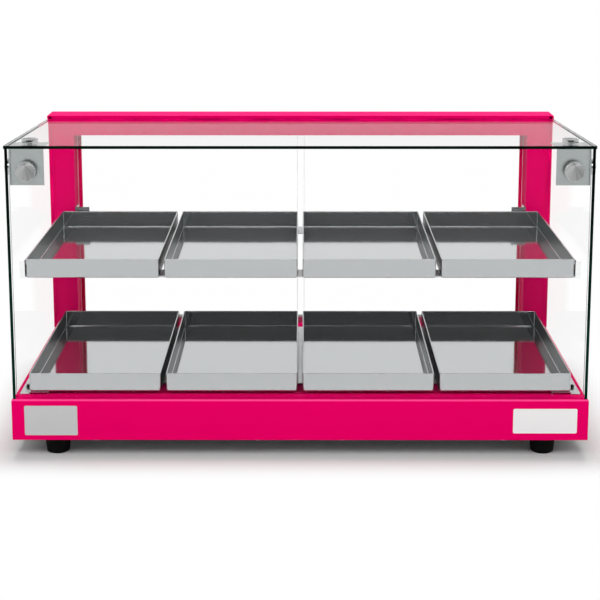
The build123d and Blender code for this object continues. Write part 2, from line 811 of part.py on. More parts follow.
left_deck_rail = deck_rail(-1)
left_deck_rail.part.label = "left_deck_rail"
export_step(left_deck_rail.part, "parts/left_deck_rail.step")

right_deck_rail = deck_rail(1)
right_deck_rail.part.label = "right_deck_rail"
export_step(right_deck_rail.part, "parts/right_deck_rail.step")

# Middle rails: inverted channels below the joints between the lower trays
with BuildPart() as middle_deck_rails:
    half = middle_rail_width / 2
    inner_half = half - deck_rail_sheet
    y0, y1 = y_front + middle_rail_setback, y_tray + tray_depth
    for x in tray_joints:
        block(x - half, x + half, y0, y1, z_deck, z_lower_tray)
        block(x - inner_half, x + inner_half, y0, y1, z_deck, z_lower_tray - deck_rail_sheet, Mode.SUBTRACT)
middle_deck_rails.part.label = "middle_deck_rails"
export_step(middle_deck_rails.part, "parts/middle_deck_rails.step")

with BuildPart() as deck_rail_screws:
    for x, y in rail_screw_places:
        place = (x, y, z_deck + deck_rail_sheet)
        screw(place, (0, 0, 1), rail_screw_head_diameter, rail_screw_head_height, rail_screw_diameter,
              deck_rail_sheet + sheet + screw_grip)
deck_rail_screws.part.label = "deck_rail_screws"
export_step(deck_rail_screws.part, "parts/deck_rail_screws.step")


def tray(x, z):
    """An open steel tray with upright walls, its floor at a height z."""
    with BuildPart() as pan:
        block(x - tray_width / 2, x + tray_width / 2, y_tray, y_tray + tray_depth, z, z + tray_height)
        fillet(pan.edges().filter_by(Axis.Z), radius=tray_corner_radius)
        fillet(pan.faces().sort_by(Axis.Z)[0].edges(), radius=tray_corner_radius)
        offset(amount=-tray_sheet, openings=pan.faces().sort_by(Axis.Z)[-1])
    return pan


for row, height in (("upper", z_upper_tray), ("lower", z_lower_tray)):
    for number, x in enumerate(tray_places, start=1):
        pan = tray(x, height)
        pan.part.label = f"{row}_tray_{number}"
        export_step(pan.part, f"parts/{row}_tray_{number}.step")


def front_plate(x0, width, z0, height):
    """A thin blank plate on the face of the base."""
    with BuildPart() as plate:
        with BuildSketch(Plane.XZ.offset(-y_front)):
            with Locations((x0 + width / 2, z0 + height / 2)):
                RectangleRounded(width, height, plate_corner_radius)
        extrude(amount=plate_thickness)
    return plate


left_plate = front_plate(-x_side + left_plate_inset, left_plate_width, z_base + left_plate_lift, left_plate_height)
left_plate.part.label = "left_plate"
export_step(left_plate.part, "parts/left_plate.step")

right_plate = front_plate(x_side - right_plate_inset - right_plate_width, right_plate_width,
                          z_base + right_plate_lift, right_plate_height)
right_plate.part.label = "right_plate"
export_step(right_plate.part, "parts/right_plate.step")

# Reflector: a sheet below the heating element that stands on the bottom plate
y_wall = y_back - sheet
y_block = y_wall - terminal_block_clear - terminal_block_depth
z_reflector = z_plate_top + reflector_height
x_reflector = x_side - reflector_side_room
y_reflector = y_front + reflector_setback
y_reflector_end = y_block - reflector_block_gap
with BuildPart() as reflector:
    y0, y1 = y_reflector, y_reflector_end
    t = reflector_sheet
    block(-x_reflector, x_reflector, y0, y1, z_reflector - t, z_reflector)
    for side in (-1, 1):
        wall, wall_inner = side * x_reflector, side * (x_reflector - t)
        toe = side * (x_reflector + reflector_foot)
        block(min(wall, wall_inner), max(wall, wall_inner), y0, y1, z_plate_top, z_reflector)
        block(min(wall_inner, toe), max(wall_inner, toe), y0, y1, z_plate_top, z_plate_top + t)
reflector.part.label = "reflector"
export_step(reflector.part, "parts/reflector.step")

# Heating element: one tube bent to a long U
z_element = z_plate_top + element_height
y_element = y_front + element_setback
x_element = x_side - element_side_room
with BuildPart() as heating_element:
    with BuildLine() as element_path:
        near = Line((x_element, y_element, z_element), (-x_element, y_element, z_element))
        bend = TangentArc(near @ 1, (-x_element, y_element + element_pitch, z_element), tangent=near % 1)
        Line(bend @ 1, (x_element, y_element + element_pitch, z_element))
    with BuildSketch(Plane(origin=near @ 0, z_dir=near % 0)):
        Circle(element_diameter / 2)
    sweep()
heating_element.part.label = "heating_element"
export_step(heating_element.part, "parts/heating_element.step")

with BuildPart() as element_terminals:
    for y in (y_element, y_element + element_pitch):
        rod((x_element, y, z_element), (1, 0, 0), terminal_diameter, terminal_length)
element_terminals.part.label = "element_terminals"
export_step(element_terminals.part, "parts/element_terminals.step")

x_element_bracket = x_element - element_bracket_inset
with BuildPart() as element_brackets:
    y0, y1 = y_element - element_bracket_margin, y_element + element_pitch + element_bracket_margin
    z1 = z_element + element_diameter
    for x in (-x_element_bracket, 0, x_element_bracket):
        block(x - reflector_sheet, x, y0, y1, z_reflector, z1)
        block(x, x + element_bracket_width, y0, y1, z_reflector, z_reflector + reflector_sheet)
        for y in (y_element, y_element + element_pitch):
            rod((x - reflector_sheet, y, z_element), (1, 0, 0), element_diameter + element_clearance,
                reflector_sheet, Mode.SUBTRACT)
element_brackets.part.label = "element_brackets"
export_step(element_brackets.part, "parts/element_brackets.step")

# Thermostat: its body is inside the rear wall and its shaft carries the knob outside
shaft_hole = shaft_diameter + 2 * shaft_clearance
with BuildPart() as thermostat_body:
    block(thermostat_offset - thermostat_width / 2, thermostat_offset + thermostat_width / 2,
          y_wall - thermostat_depth, y_wall, z_control - thermostat_height / 2, z_control + thermostat_height / 2)
    rod((thermostat_offset, y_wall - shaft_depth, z_control), (0, 1, 0), shaft_hole, shaft_depth, Mode.SUBTRACT)
thermostat_body.part.label = "thermostat_body"
export_step(thermostat_body.part, "parts/thermostat_body.step")

with BuildPart() as thermostat_shaft:
    shaft_start = y_wall - shaft_depth + door_bottom_gap
    shaft_end = y_back + rear_reach - knob_wall
    rod((thermostat_offset, shaft_start, z_control), (0, 1, 0), shaft_diameter, shaft_end - shaft_start)
thermostat_shaft.part.label = "thermostat_shaft"
export_step(thermostat_shaft.part, "parts/thermostat_shaft.step")

with BuildPart() as thermostat_knob:
    knob_plane = Plane(origin=(thermostat_offset, y_back + knob_gap, z_control), x_dir=(1, 0, 0), z_dir=(0, 1, 0))
    with BuildSketch(knob_plane):
        Circle(knob_diameter / 2)
    with BuildSketch(knob_plane.offset(knob_height)):
        Circle(knob_diameter / 2 - knob_taper)
    loft()
    fillet(thermostat_knob.faces().sort_by(Axis.Y)[-1].edges(), radius=knob_edge_radius)
    with BuildSketch(knob_plane):
        with PolarLocations(knob_diameter / 2 + knob_grip_radius / 4, knob_grip_count):
            Circle(knob_grip_radius)
    extrude(amount=knob_height, mode=Mode.SUBTRACT)
    with BuildSketch(knob_plane):
        Circle(shaft_hole / 2)
    extrude(amount=knob_height - knob_wall, mode=Mode.SUBTRACT)
thermostat_knob.part.label = "thermostat_knob"
export_step(thermostat_knob.part, "parts/thermostat_knob.step")

# Terminal block, wiring, cable gland and pilot lamp
with BuildPart() as terminal_block:
    block(gland_offset - terminal_block_width / 2, gland_offset + terminal_block_width / 2,
          y_block, y_block + terminal_block_depth, z_plate_top, z_plate_top + terminal_block_height)
    chamfer(terminal_block.faces().sort_by(Axis.Z)[-1].edges(), length=1)
terminal_block.part.label = "terminal_block"
export_step(terminal_block.part, "parts/terminal_block.step")

x_terminal = x_element + terminal_length
x_wire = x_reflector + wire_bend
y_thermostat = y_wall - thermostat_depth
y_wire = y_reflector_end + wire_bend
z_wire = z_plate_top + terminal_entry_height
y_entry = y_block + terminal_block_depth / 2
wire_routes = [
    [
        (thermostat_offset, y_thermostat, z_element),
        (thermostat_offset, y_wire, z_element),
        (x_wire, y_wire, z_element),
        (x_wire, y_element + element_pitch, z_element),
        (x_terminal, y_element + element_pitch, z_element),
    ],
    [
        (gland_offset + terminal_block_width / 2, y_entry, z_wire),
        (x_wire + 2 * wire_bend, y_entry, z_wire),
        (x_wire + 2 * wire_bend, y_element, z_wire),
        (x_wire + 2 * wire_bend, y_element, z_element),
        (x_terminal, y_element, z_element),
    ],
    [
        (thermostat_offset + thermostat_width / 2, y_wall - thermostat_depth / 2, z_control),
        (gland_offset, y_wall - thermostat_depth / 2, z_control),
        (gland_offset, y_entry, z_control),
        (gland_offset, y_entry, z_plate_top + terminal_block_height),
    ],
]
with BuildPart() as wiring:
    for route in wire_routes:
        with BuildLine() as wire_path:
            path = FilletPolyline(*route, radius=wire_bend / 2)
        with BuildSketch(Plane(origin=path @ 0, z_dir=path % 0)):
            Circle(wire_diameter / 2)
        sweep(path=wire_path.line)
wiring.part.label = "wiring"
export_step(wiring.part, "parts/wiring.step")

with BuildPart() as cable_gland:
    rod((gland_offset, y_wall - gland_thread_length, z_control), (0, 1, 0), gland_thread_diameter,
        gland_thread_length + sheet)
    hexagon_bar((gland_offset, y_back, z_control), (0, 1, 0), gland_hex_width, gland_hex_height)
    rod((gland_offset, y_back + gland_hex_height, z_control), (0, 1, 0), gland_cap_diameter, gland_cap_height)
    fillet(cable_gland.faces().sort_by(Axis.Y)[-1].edges(), radius=knob_edge_radius)
    gland_length = gland_thread_length + sheet + gland_hex_height + gland_cap_height
    rod((gland_offset, y_wall - gland_thread_length, z_control), (0, 1, 0), gland_bore_diameter, gland_length,
        Mode.SUBTRACT)
cable_gland.part.label = "cable_gland"
export_step(cable_gland.part, "parts/cable_gland.step")

with BuildPart() as gland_nut:
    hexagon_bar((gland_offset, y_wall - gland_nut_height, z_control), (0, 1, 0), gland_nut_width, gland_nut_height)
    rod((gland_offset, y_wall - gland_nut_height, z_control), (0, 1, 0), gland_thread_diameter + gland_clearance,
        gland_nut_height, Mode.SUBTRACT)
gland_nut.part.label = "gland_nut"
export_step(gland_nut.part, "parts/gland_nut.step")

with BuildPart() as pilot_lamp:
    rod((lamp_offset, y_back - lamp_body_length, z_control), (0, 1, 0), lamp_body_diameter, lamp_body_length)
    rod((lamp_offset, y_back, z_control), (0, 1, 0), lamp_bezel_diameter, lamp_bezel_height)
    rod((lamp_offset, y_back + lamp_bezel_height, z_control), (0, 1, 0), lamp_lens_diameter, lamp_lens_height)
    fillet(pilot_lamp.faces().sort_by(Axis.Y)[-1].edges(), radius=knob_edge_radius)
pilot_lamp.part.label = "pilot_lamp"
export_step(pilot_lamp.part, "parts/pilot_lamp.step")
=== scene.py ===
import math

import bmesh
import bpy
import numpy as np
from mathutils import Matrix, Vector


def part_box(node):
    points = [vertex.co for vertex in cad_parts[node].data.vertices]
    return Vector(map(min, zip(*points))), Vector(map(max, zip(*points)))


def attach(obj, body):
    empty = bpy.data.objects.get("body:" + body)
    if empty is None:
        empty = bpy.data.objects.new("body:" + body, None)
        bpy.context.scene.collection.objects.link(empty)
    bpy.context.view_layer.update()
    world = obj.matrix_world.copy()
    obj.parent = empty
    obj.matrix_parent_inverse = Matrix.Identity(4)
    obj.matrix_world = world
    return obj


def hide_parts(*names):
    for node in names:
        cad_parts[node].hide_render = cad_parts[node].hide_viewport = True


bl_info = {
    "name": "Countertop display case",
    "version": (1, 0, 0),
    "blender": (4, 5, 0),
    "location": "View3D > Sidebar > Display case",
    "description": "Dresses the packed display case: steel trays, turned buttons, glass, paint and stage",
    "category": "Object",
}

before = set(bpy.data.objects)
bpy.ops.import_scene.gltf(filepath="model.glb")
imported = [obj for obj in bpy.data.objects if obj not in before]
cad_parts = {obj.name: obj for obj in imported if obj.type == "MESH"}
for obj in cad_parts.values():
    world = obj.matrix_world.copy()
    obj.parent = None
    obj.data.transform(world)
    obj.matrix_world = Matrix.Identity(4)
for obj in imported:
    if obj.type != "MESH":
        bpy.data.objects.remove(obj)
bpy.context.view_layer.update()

MM = 0.001
PHOTO_WIDTH = 600
# Edges that bend by more than this many degrees stay sharp.
SHARP_ANGLE, SHEET_SHARP_ANGLE = 35, 30
TRAYS = [f"{row}_tray_{number}" for row in ("upper", "lower") for number in (1, 2, 3, 4)]
# The base's front and rear faces, and its half width and depth.
FRONT, BACK = -208.5 * MM, 191.5 * MM
HALF_BASE_WIDTH, HALF_BASE_DEPTH = 390 * MM, 200 * MM
# The panes: their thickness, where the top one's underside starts, and how far it falls towards the rear.
GLASS, GLASS_FRONT, GLASS_TOP = 4 * MM, FRONT + 0.5 * MM, 425.3 * MM
GLASS_FALL = 14.0 / 352.5
GLASS_TILT = math.atan(GLASS_FALL)
# The gap that keeps two touching pieces from sharing a face.
HAIR = 0.2 * MM
FORWARD, BACKWARD, LEFT, RIGHT, UP = (0, -1, 0), (0, 1, 0), (-1, 0, 0), (1, 0, 0), (0, 0, 1)


def linear(code):
    """Turn an sRGB hex code into linear values."""
    values = [int(code[i:i + 2], 16) / 255 for i in (1, 3, 5)]
    return tuple(v / 12.92 if v <= 0.04045 else ((v + 0.055) / 1.055) ** 2.4 for v in values)


def colour(name, words, code):
    """A colour property whose default is an sRGB hex code."""
    return bpy.props.FloatVectorProperty(
        name=name, description=words, subtype="COLOR", size=3, min=0, max=1, default=linear(code)
    )


def length(name, words, millimetres):
    """A length property whose default is given in millimetres."""
    return bpy.props.FloatProperty(
        name=name, description=words, subtype="DISTANCE", unit="LENGTH", default=millimetres * MM
    )


class CaseColours(bpy.types.PropertyGroup):
    paint: colour("Paint", "Gloss paint of the base and the rear frame", "#E60061")
    # Painted highlight: lighter pink painted on the rounded front edges of the paint.
    painted_edge_highlight: colour("Painted edge highlight", "Paint on the rounded front edges", "#FF4C93")
    steel: colour("Stainless steel", "Trays, rails and brackets", "#B9BCBD")
    bracket: colour("Bracket steel", "Corner brackets", "#A3A9A8")
    polished: colour("Polished steel", "Arms of the upper shelf", "#F4F5F5")
    # Painted shade: the upright sides of the trays are painted a darker, duller grey than the fronts.
    painted_side_shade: colour("Painted side shade", "Upright sides of the trays", "#4C5352")
    # Painted shade: near-black painted on tray faces within 4 mm of a joint between two trays.
    shade: colour("Inner shade", "Facing sides of neighbouring trays", "#101111")
    turned: colour("Turned steel", "Glass buttons", "#CDCECE")
    rubber: colour("Rubber", "Feet", "#0D0D0D")
    left_plate: colour("Left plate", "Blank plate at the left", "#BEBFC0")
    right_plate: colour("Right plate", "Blank plate at the right", "#EBEAEA")
    knob: colour("Knob", "Thermostat knob", "#191A1C")
    lens: colour("Lens", "Pilot lamp", "#E0620E")


class CaseSizes(bpy.types.PropertyGroup):
    tray_wall: length("Tray wall", "Thickness of a tray's sheet", 1)
    tray_rim: length("Tray rim", "Thickness of the hemmed rim", 1.6)
    tray_bend: length("Tray bend", "Outer radius of a tray's bends", 2.3)
    button_edge: length("Button edge", "Width of the bevel on a glass button", 0.8)
    plate_corner: length("Plate corner", "Corner radius of a blank plate", 2)
    foot_round: length("Foot edge", "Radius at the bottom of a foot", 2.5)
    knob_rib: length("Knob rib", "Depth of the grip ribs on the knob", 0.5)


def under_top(y):
    """Height of the underside of the tilted top pane: it falls evenly from the front edge to the rear."""
    return GLASS_TOP - (y - GLASS_FRONT) * GLASS_FALL


def add(tree, kind, settings=None, **sockets):
    """Add a node, with its settings; a socket takes a value or another node's output."""
    node = tree.nodes.new(kind)
    for key, value in (settings or {}).items():
        setattr(node, key, value)
    for key, value in sockets.items():
        name = key.replace("_", " ")
        socket = node.inputs[int(key[1:])] if key[0] == "i" and key[1:].isdigit() else node.inputs[name]
        if isinstance(value, bpy.types.NodeSocket):
            tree.links.new(value, socket)
        else:
            socket.default_value = value
    return node


def blank_material(name):
    """A material with an empty node tree and its output."""
    material = bpy.data.materials.new(name)
    material.use_nodes = True
    tree = material.node_tree
    tree.nodes.clear()
    return material, tree, tree.nodes.new("ShaderNodeOutputMaterial")


def rgba(values):
    """Linear colour with full alpha."""
    return (*values, 1)


def plain_finish(name, base, metallic, roughness, grain, relief, tone=0.06, **extra):
    """A finish with a fine grain: grain and relief are its size and height in millimetres, and tone is how
    far the colour wanders over clouds 60 mm wide."""
    material, tree, output = blank_material(name)
    place = add(tree, "ShaderNodeTexCoord").outputs["Object"]
    fine = add(tree, "ShaderNodeTexNoise", Vector=place, Scale=1 / (grain * MM), Detail=3.0)
    cloud = 60 * MM
    wide = add(tree, "ShaderNodeTexNoise", Vector=place, Scale=1 / cloud, Detail=2.0)
    dark = tuple(v * (1 - tone) for v in base)
    light = tuple(min(1, v * (1 + tone)) for v in base)
    tint = add(
        tree, "ShaderNodeMix", {"data_type": "RGBA"}, i0=wide.outputs["Fac"], i6=rgba(dark), i7=rgba(light),
    )
    rough = add(
        tree, "ShaderNodeMapRange", Value=fine.outputs["Fac"],
        To_Min=roughness * 0.85, To_Max=roughness * 1.15,
    )
    bump = add(tree, "ShaderNodeBump", Height=fine.outputs["Fac"], Distance=relief * MM, Strength=0.6)
    shader = add(
        tree, "ShaderNodeBsdfPrincipled", Base_Color=tint.outputs[2], Metallic=metallic,
        Roughness=rough.outputs["Result"], Normal=bump.outputs["Normal"],
    )
    for key, value in extra.items():
        shader.inputs[key.replace("_", " ")].default_value = value
    tree.links.new(shader.outputs[0], output.inputs["Surface"])
    return material


def gloss_paint(colours):
    """Baked gloss paint on folded steel: an even pink, with a painted highlight of lighter pink on faces
    that slant forward and up, such as the rounded front edges, where the lamps above would catch.
    """
    material = plain_finish(
        "gloss_pink_paint", colours.paint, 0.0, 0.3, 2.5, 0.01, tone=0.015, Specular_IOR_Level=0.003,
    )
    tree = material.node_tree
    shader = next(node for node in tree.nodes if node.type == "BSDF_PRINCIPLED")
    even = shader.inputs["Base Color"].links[0].from_socket
    # Painted highlight: faces that slant forward and up are mixed towards the lighter edge-highlight pink.
    facing = add(tree, "ShaderNodeSeparateXYZ", Vector=add(tree, "ShaderNodeTexCoord").outputs["Normal"])
    forward = add(tree, "ShaderNodeMath", {"operation": "MULTIPLY"}, i0=facing.outputs["Y"], i1=-1.0)
    slanted = add(
        tree, "ShaderNodeMath", {"operation": "MINIMUM"}, i0=forward.outputs[0], i1=facing.outputs["Z"],
    )
    highlight_mask = add(tree, "ShaderNodeMapRange", Value=slanted.outputs[0], From_Min=0.25, From_Max=0.6)
    bright = add(
        tree, "ShaderNodeMix", {"data_type": "RGBA"}, i0=highlight_mask.outputs["Result"], i6=even,
        i7=rgba(colours.painted_edge_highlight),
    )
    tree.links.new(bright.outputs[2], shader.inputs["Base Color"])
    return material


def brushed_sheet(name, base, roughness, streak, wave):
    """Rolled stainless sheet: faint streaks along X from the rolls, and a slow wave that bends what it
    mirrors."""
    material, tree, output = blank_material(name)
    shader = sheet_shader(tree, base, roughness, streak, wave)
    tree.links.new(shader.outputs[0], output.inputs["Surface"])
    return material


def sheet_shader(tree, base, roughness, streak, wave):
    """The shader of rolled stainless sheet: streaks about 1 mm fine across X, and swells about 55 mm apart
    whose height is the wave in millimetres."""
    place = add(tree, "ShaderNodeTexCoord").outputs["Object"]
    stretch = add(tree, "ShaderNodeMapping", Vector=place, Scale=(12, 900, 900))
    streaks = add(tree, "ShaderNodeTexNoise", Vector=stretch.outputs[0], Scale=1.0, Detail=4.0)
    swell = 55 * MM
    slow = add(tree, "ShaderNodeTexNoise", Vector=place, Scale=1 / swell, Detail=1.0)
    rough = add(
        tree, "ShaderNodeMapRange", Value=streaks.outputs["Fac"],
        To_Min=roughness - streak, To_Max=roughness + streak,
    )
    tint = add(
        tree, "ShaderNodeMix", {"data_type": "RGBA"}, i0=streaks.outputs["Fac"],
        i6=rgba(tuple(v * 0.94 for v in base)), i7=rgba(tuple(min(1, v * 1.05) for v in base)),
    )
    ripple = add(tree, "ShaderNodeBump", Height=slow.outputs["Fac"], Distance=wave * MM, Strength=1.0)
    lines = add(
        tree, "ShaderNodeBump", Height=streaks.outputs["Fac"], Distance=0.004 * MM, Strength=0.5,
        Normal=ripple.outputs["Normal"],
    )
    return add(
        tree, "ShaderNodeBsdfPrincipled", Base_Color=tint.outputs[2], Metallic=0.94,
        Roughness=rough.outputs["Result"], Normal=lines.outputs["Normal"],
    )


def tray_sheet(colours, pitch):
    """Tray steel: mirror-rolled fronts and floors; painted shade on the upright sides, a duller, darker grey,
    and near-black painted shade on faces within 4 mm of a joint between two trays, where little light
    falls. The joints lie one pitch apart."""
    material, tree, output = blank_material("tray_stainless_sheet")
    bright = sheet_shader(tree, colours.steel, 0.075, 0.02, 0.05)
    coordinates = add(tree, "ShaderNodeTexCoord")
    spot = add(tree, "ShaderNodeSeparateXYZ", Vector=coordinates.outputs["Object"])
    facing = add(tree, "ShaderNodeSeparateXYZ", Vector=coordinates.outputs["Normal"])
    # Painted shade: faces within 4 mm of a joint between trays are painted near black.
    joint = add(tree, "ShaderNodeMath", {"operation": "PINGPONG"}, i0=spot.outputs["X"], i1=pitch / 2)
    shaded = 4 * MM
    near = add(tree, "ShaderNodeMath", {"operation": "LESS_THAN"}, i0=joint.outputs[0], i1=shaded)
    tone = add(
        tree, "ShaderNodeMix", {"data_type": "RGBA"}, i0=near.outputs[0],
        i6=rgba(colours.painted_side_shade), i7=rgba(colours.shade),
    )
    # Painted shade: upright sides get this darker, duller grey shader instead of the bright sheet.
    side_shade_shader = add(tree, "ShaderNodeBsdfPrincipled", Base_Color=tone.outputs[2], Roughness=0.35, Metallic=0.5)
    sideways = add(tree, "ShaderNodeMath", {"operation": "ABSOLUTE"}, i0=facing.outputs["X"])
    side_shade_mask = add(tree, "ShaderNodeMath", {"operation": "GREATER_THAN"}, i0=sideways.outputs[0], i1=0.95)
    whole = add(tree, "ShaderNodeMixShader", i0=side_shade_mask.outputs[0], i1=bright.outputs[0], i2=side_shade_shader.outputs[0])
    tree.links.new(whole.outputs[0], output.inputs["Surface"])
    return material


def turned_face(name, base, centre, axis):
    """Steel faced on a lathe: rings round each button's centre give a fine bump, and a painted highlight of
    light and dark rays round that centre, in the face's colour, stands in for the rings spreading a lamp;
    the turned side stays bright. The centre is that of the button at +X, and its mirror image serves
    the one at -X. The rings are 0.5 mm apart, coarser than real ones, so that they show."""
    material, tree, output = blank_material(name)
    place = add(tree, "ShaderNodeTexCoord").outputs["Object"]
    spot = add(tree, "ShaderNodeSeparateXYZ", Vector=place)
    hand = add(tree, "ShaderNodeMath", {"operation": "SIGN"}, i0=spot.outputs["X"])
    across = add(tree, "ShaderNodeMath", {"operation": "MULTIPLY"}, i0=hand.outputs[0], i1=centre[0])
    middle = add(tree, "ShaderNodeCombineXYZ", X=across.outputs[0], Y=centre[1], Z=centre[2])
    away = add(tree, "ShaderNodeVectorMath", {"operation": "SUBTRACT"}, i0=place, i1=middle.outputs[0])
    round_way = add(tree, "ShaderNodeVectorMath", {"operation": "CROSS_PRODUCT"}, i0=away.outputs[0], i1=axis)
    reach = add(tree, "ShaderNodeVectorMath", {"operation": "LENGTH"}, i0=round_way.outputs[0])
    ring_gap = 0.5 * MM
    turns = add(
        tree, "ShaderNodeMath", {"operation": "MULTIPLY"}, i0=reach.outputs["Value"],
        i1=2 * math.pi / ring_gap,
    )
    rings = add(tree, "ShaderNodeMath", {"operation": "SINE"}, i0=turns.outputs[0])
    bump = add(tree, "ShaderNodeBump", Height=rings.outputs[0], Distance=0.004 * MM, Strength=0.5)
    # Painted highlight: light and dark rays round the centre are painted into the face's colour by angle.
    parts = add(tree, "ShaderNodeSeparateXYZ", Vector=away.outputs[0])
    rise = add(tree, "ShaderNodeMath", {"operation": "ADD"}, i0=parts.outputs["Z"], i1=parts.outputs["Y"])
    angle = add(tree, "ShaderNodeMath", {"operation": "ARCTAN2"}, i0=rise.outputs[0], i1=parts.outputs["X"])
    twice = add(tree, "ShaderNodeMath", {"operation": "MULTIPLY_ADD"}, i0=angle.outputs[0], i1=2.0, i2=0.6)
    painted_lobes = add(tree, "ShaderNodeMath", {"operation": "SINE"}, i0=twice.outputs[0])
    painted_rays = add(
        tree, "ShaderNodeTexNoise", {"noise_dimensions": "1D"}, W=angle.outputs[0], Scale=3.0, Detail=3.0,
    )
    painted_fan = add(
        tree, "ShaderNodeMath", {"operation": "MULTIPLY_ADD"}, i0=painted_lobes.outputs[0], i1=0.35,
        i2=painted_rays.outputs[0],
    )
    painted_dark_ray = tuple(v * 0.42 for v in base)
    tone = add(
        tree, "ShaderNodeMix", {"data_type": "RGBA"}, i0=painted_fan.outputs[0], i6=rgba(painted_dark_ray), i7=rgba(base),
    )
    face = add(
        tree, "ShaderNodeBsdfPrincipled", Base_Color=tone.outputs[2], Metallic=1.0, Roughness=0.28,
        Anisotropic=0.6, Normal=bump.outputs["Normal"], Tangent=round_way.outputs[0],
    )
    side = add(tree, "ShaderNodeBsdfPrincipled", Base_Color=rgba(base), Metallic=1.0, Roughness=0.12)
    normal = add(tree, "ShaderNodeTexCoord").outputs["Normal"]
    along = add(tree, "ShaderNodeVectorMath", {"operation": "DOT_PRODUCT"}, i0=normal, i1=axis)
    is_face = add(tree, "ShaderNodeMath", {"operation": "GREATER_THAN"}, i0=along.outputs["Value"], i1=0.9)
    whole = add(tree, "ShaderNodeMixShader", i0=is_face.outputs[0], i1=side.outputs[0], i2=face.outputs[0])
    tree.links.new(whole.outputs[0], output.inputs["Surface"])
    return material


def clear_pane(name, ior, cuts):
    """Clear polished sheet; a lamp's light passes straight through it. Each cut is a direction from the
    case's middle, and the colours low and high up of the edge on that side, seen from either side of it.
    The IOR is lower than that of the real sheet, so that a pane mirrors no more than it should show."""
    material, tree, output = blank_material(name)
    coordinates = add(tree, "ShaderNodeTexCoord")
    place = coordinates.outputs["Object"]
    solid = add(
        tree, "ShaderNodeBsdfPrincipled", Base_Color=(1, 1, 1, 1), Roughness=0.0, IOR=ior,
        Transmission_Weight=1.0,
    )
    height = add(tree, "ShaderNodeSeparateXYZ", Vector=place).outputs["Z"]
    raised = add(tree, "ShaderNodeMapRange", Value=height, From_Min=0.1, From_Max=0.4)
    patch = 45 * MM
    streaks = add(tree, "ShaderNodeTexNoise", Vector=place, Scale=1 / patch, Detail=2.0)
    mottle = add(
        tree, "ShaderNodeMapRange", Value=streaks.outputs["Fac"], From_Min=0.3, From_Max=0.7,
        To_Min=0.5, To_Max=1.5,
    )
    for direction, low, high in cuts:
        facing = add(
            tree, "ShaderNodeVectorMath", {"operation": "DOT_PRODUCT"},
            i0=coordinates.outputs["Normal"], i1=direction,
        )
        either_way = add(tree, "ShaderNodeMath", {"operation": "ABSOLUTE"}, i0=facing.outputs["Value"])
        level = add(tree, "ShaderNodeMath", {"operation": "GREATER_THAN"}, i0=either_way.outputs[0], i1=0.6)
        reach = add(tree, "ShaderNodeVectorMath", {"operation": "DOT_PRODUCT"}, i0=place, i1=direction)
        beyond = add(tree, "ShaderNodeMath", {"operation": "GREATER_THAN"}, i0=reach.outputs["Value"], i1=0.0)
        is_cut = add(
            tree, "ShaderNodeMath", {"operation": "MULTIPLY"}, i0=level.outputs[0], i1=beyond.outputs[0],
        )
        green = add(
            tree, "ShaderNodeMix", {"data_type": "RGBA"}, i0=raised.outputs["Result"],
            i6=rgba(low), i7=rgba(high),
        )
        mottled = add(
            tree, "ShaderNodeMix", {"data_type": "RGBA", "blend_type": "MULTIPLY"}, i0=1.0,
            i6=green.outputs[2], i7=mottle.outputs["Result"],
        )
        edge = add(tree, "ShaderNodeBsdfPrincipled", Base_Color=mottled.outputs[2], Roughness=0.25, IOR=ior)
        solid = add(
            tree, "ShaderNodeMixShader", i0=is_cut.outputs[0], i1=solid.outputs[0], i2=edge.outputs[0],
        )
    open_way = add(tree, "ShaderNodeBsdfTransparent")
    ray = add(tree, "ShaderNodeLightPath")
    spread = add(
        tree, "ShaderNodeMath", {"operation": "MAXIMUM"},
        i0=ray.outputs["Is Shadow Ray"], i1=ray.outputs["Is Diffuse Ray"],
    )
    both = add(tree, "ShaderNodeMixShader", i0=spread.outputs[0], i1=solid.outputs[0], i2=open_way.outputs[0])
    tree.links.new(both.outputs[0], output.inputs["Surface"])
    return material


def finished_mesh(name, mesh, sharp):
    """An object from a mesh: smooth, but for edges past the sharp angle, with flats that stay flat next to
    small bends because the large faces set the shading."""
    mesh.shade_smooth()
    mesh.set_sharp_from_angle(angle=math.radians(sharp))
    piece = bpy.data.objects.new(name, mesh)
    bpy.context.scene.collection.objects.link(piece)
    flats = piece.modifiers.new("flats", "WEIGHTED_NORMAL")
    flats.weight = 100
    flats.keep_sharp = True
    return piece


def grid_piece(name, points, sharp=SHARP_ANGLE):
    """A surface on a grid of points, point [i, j] at row i and column j. Each row is a closed loop, and the
    first and last rows shrink to a point to close the shape. Doubles are merged and faces turned outwards."""
    rows, columns = points.shape[:2]
    i, j = [a.ravel() for a in np.meshgrid(np.arange(rows - 1), np.arange(columns), indexing="ij")]
    here, above, after = i * columns, (i + 1) * columns, (j + 1) % columns
    faces = np.stack([here + j, here + after, above + after, above + j], 1)
    mesh = bpy.data.meshes.new(name)
    mesh.from_pydata(points.reshape(-1, 3).tolist(), [], faces.tolist())
    body = bmesh.new()
    body.from_mesh(mesh)
    bmesh.ops.remove_doubles(body, verts=body.verts, dist=1e-6)
    bmesh.ops.dissolve_degenerate(body, edges=body.edges, dist=1e-7)
    bmesh.ops.recalc_face_normals(body, faces=body.faces)
    body.to_mesh(mesh)
    body.free()
    return finished_mesh(name, mesh, sharp)


def spots_of(piece):
    """The places of a piece's vertices, as rows."""
    spots = np.zeros(len(piece.data.vertices) * 3)
    piece.data.vertices.foreach_get("co", spots)
    return spots.reshape(-1, 3)


def joined(name, pieces):
    """One object from several, kept as separate closed shells in one mesh."""
    points, faces, start = [], [], 0
    for piece in pieces:
        points.append(spots_of(piece))
        faces += [[v + start for v in face.vertices] for face in piece.data.polygons]
        start += len(piece.data.vertices)
        bpy.data.objects.remove(piece)
    mesh = bpy.data.meshes.new(name)
    mesh.from_pydata(np.concatenate(points).tolist(), [], faces)
    return finished_mesh(name, mesh, SHARP_ANGLE)


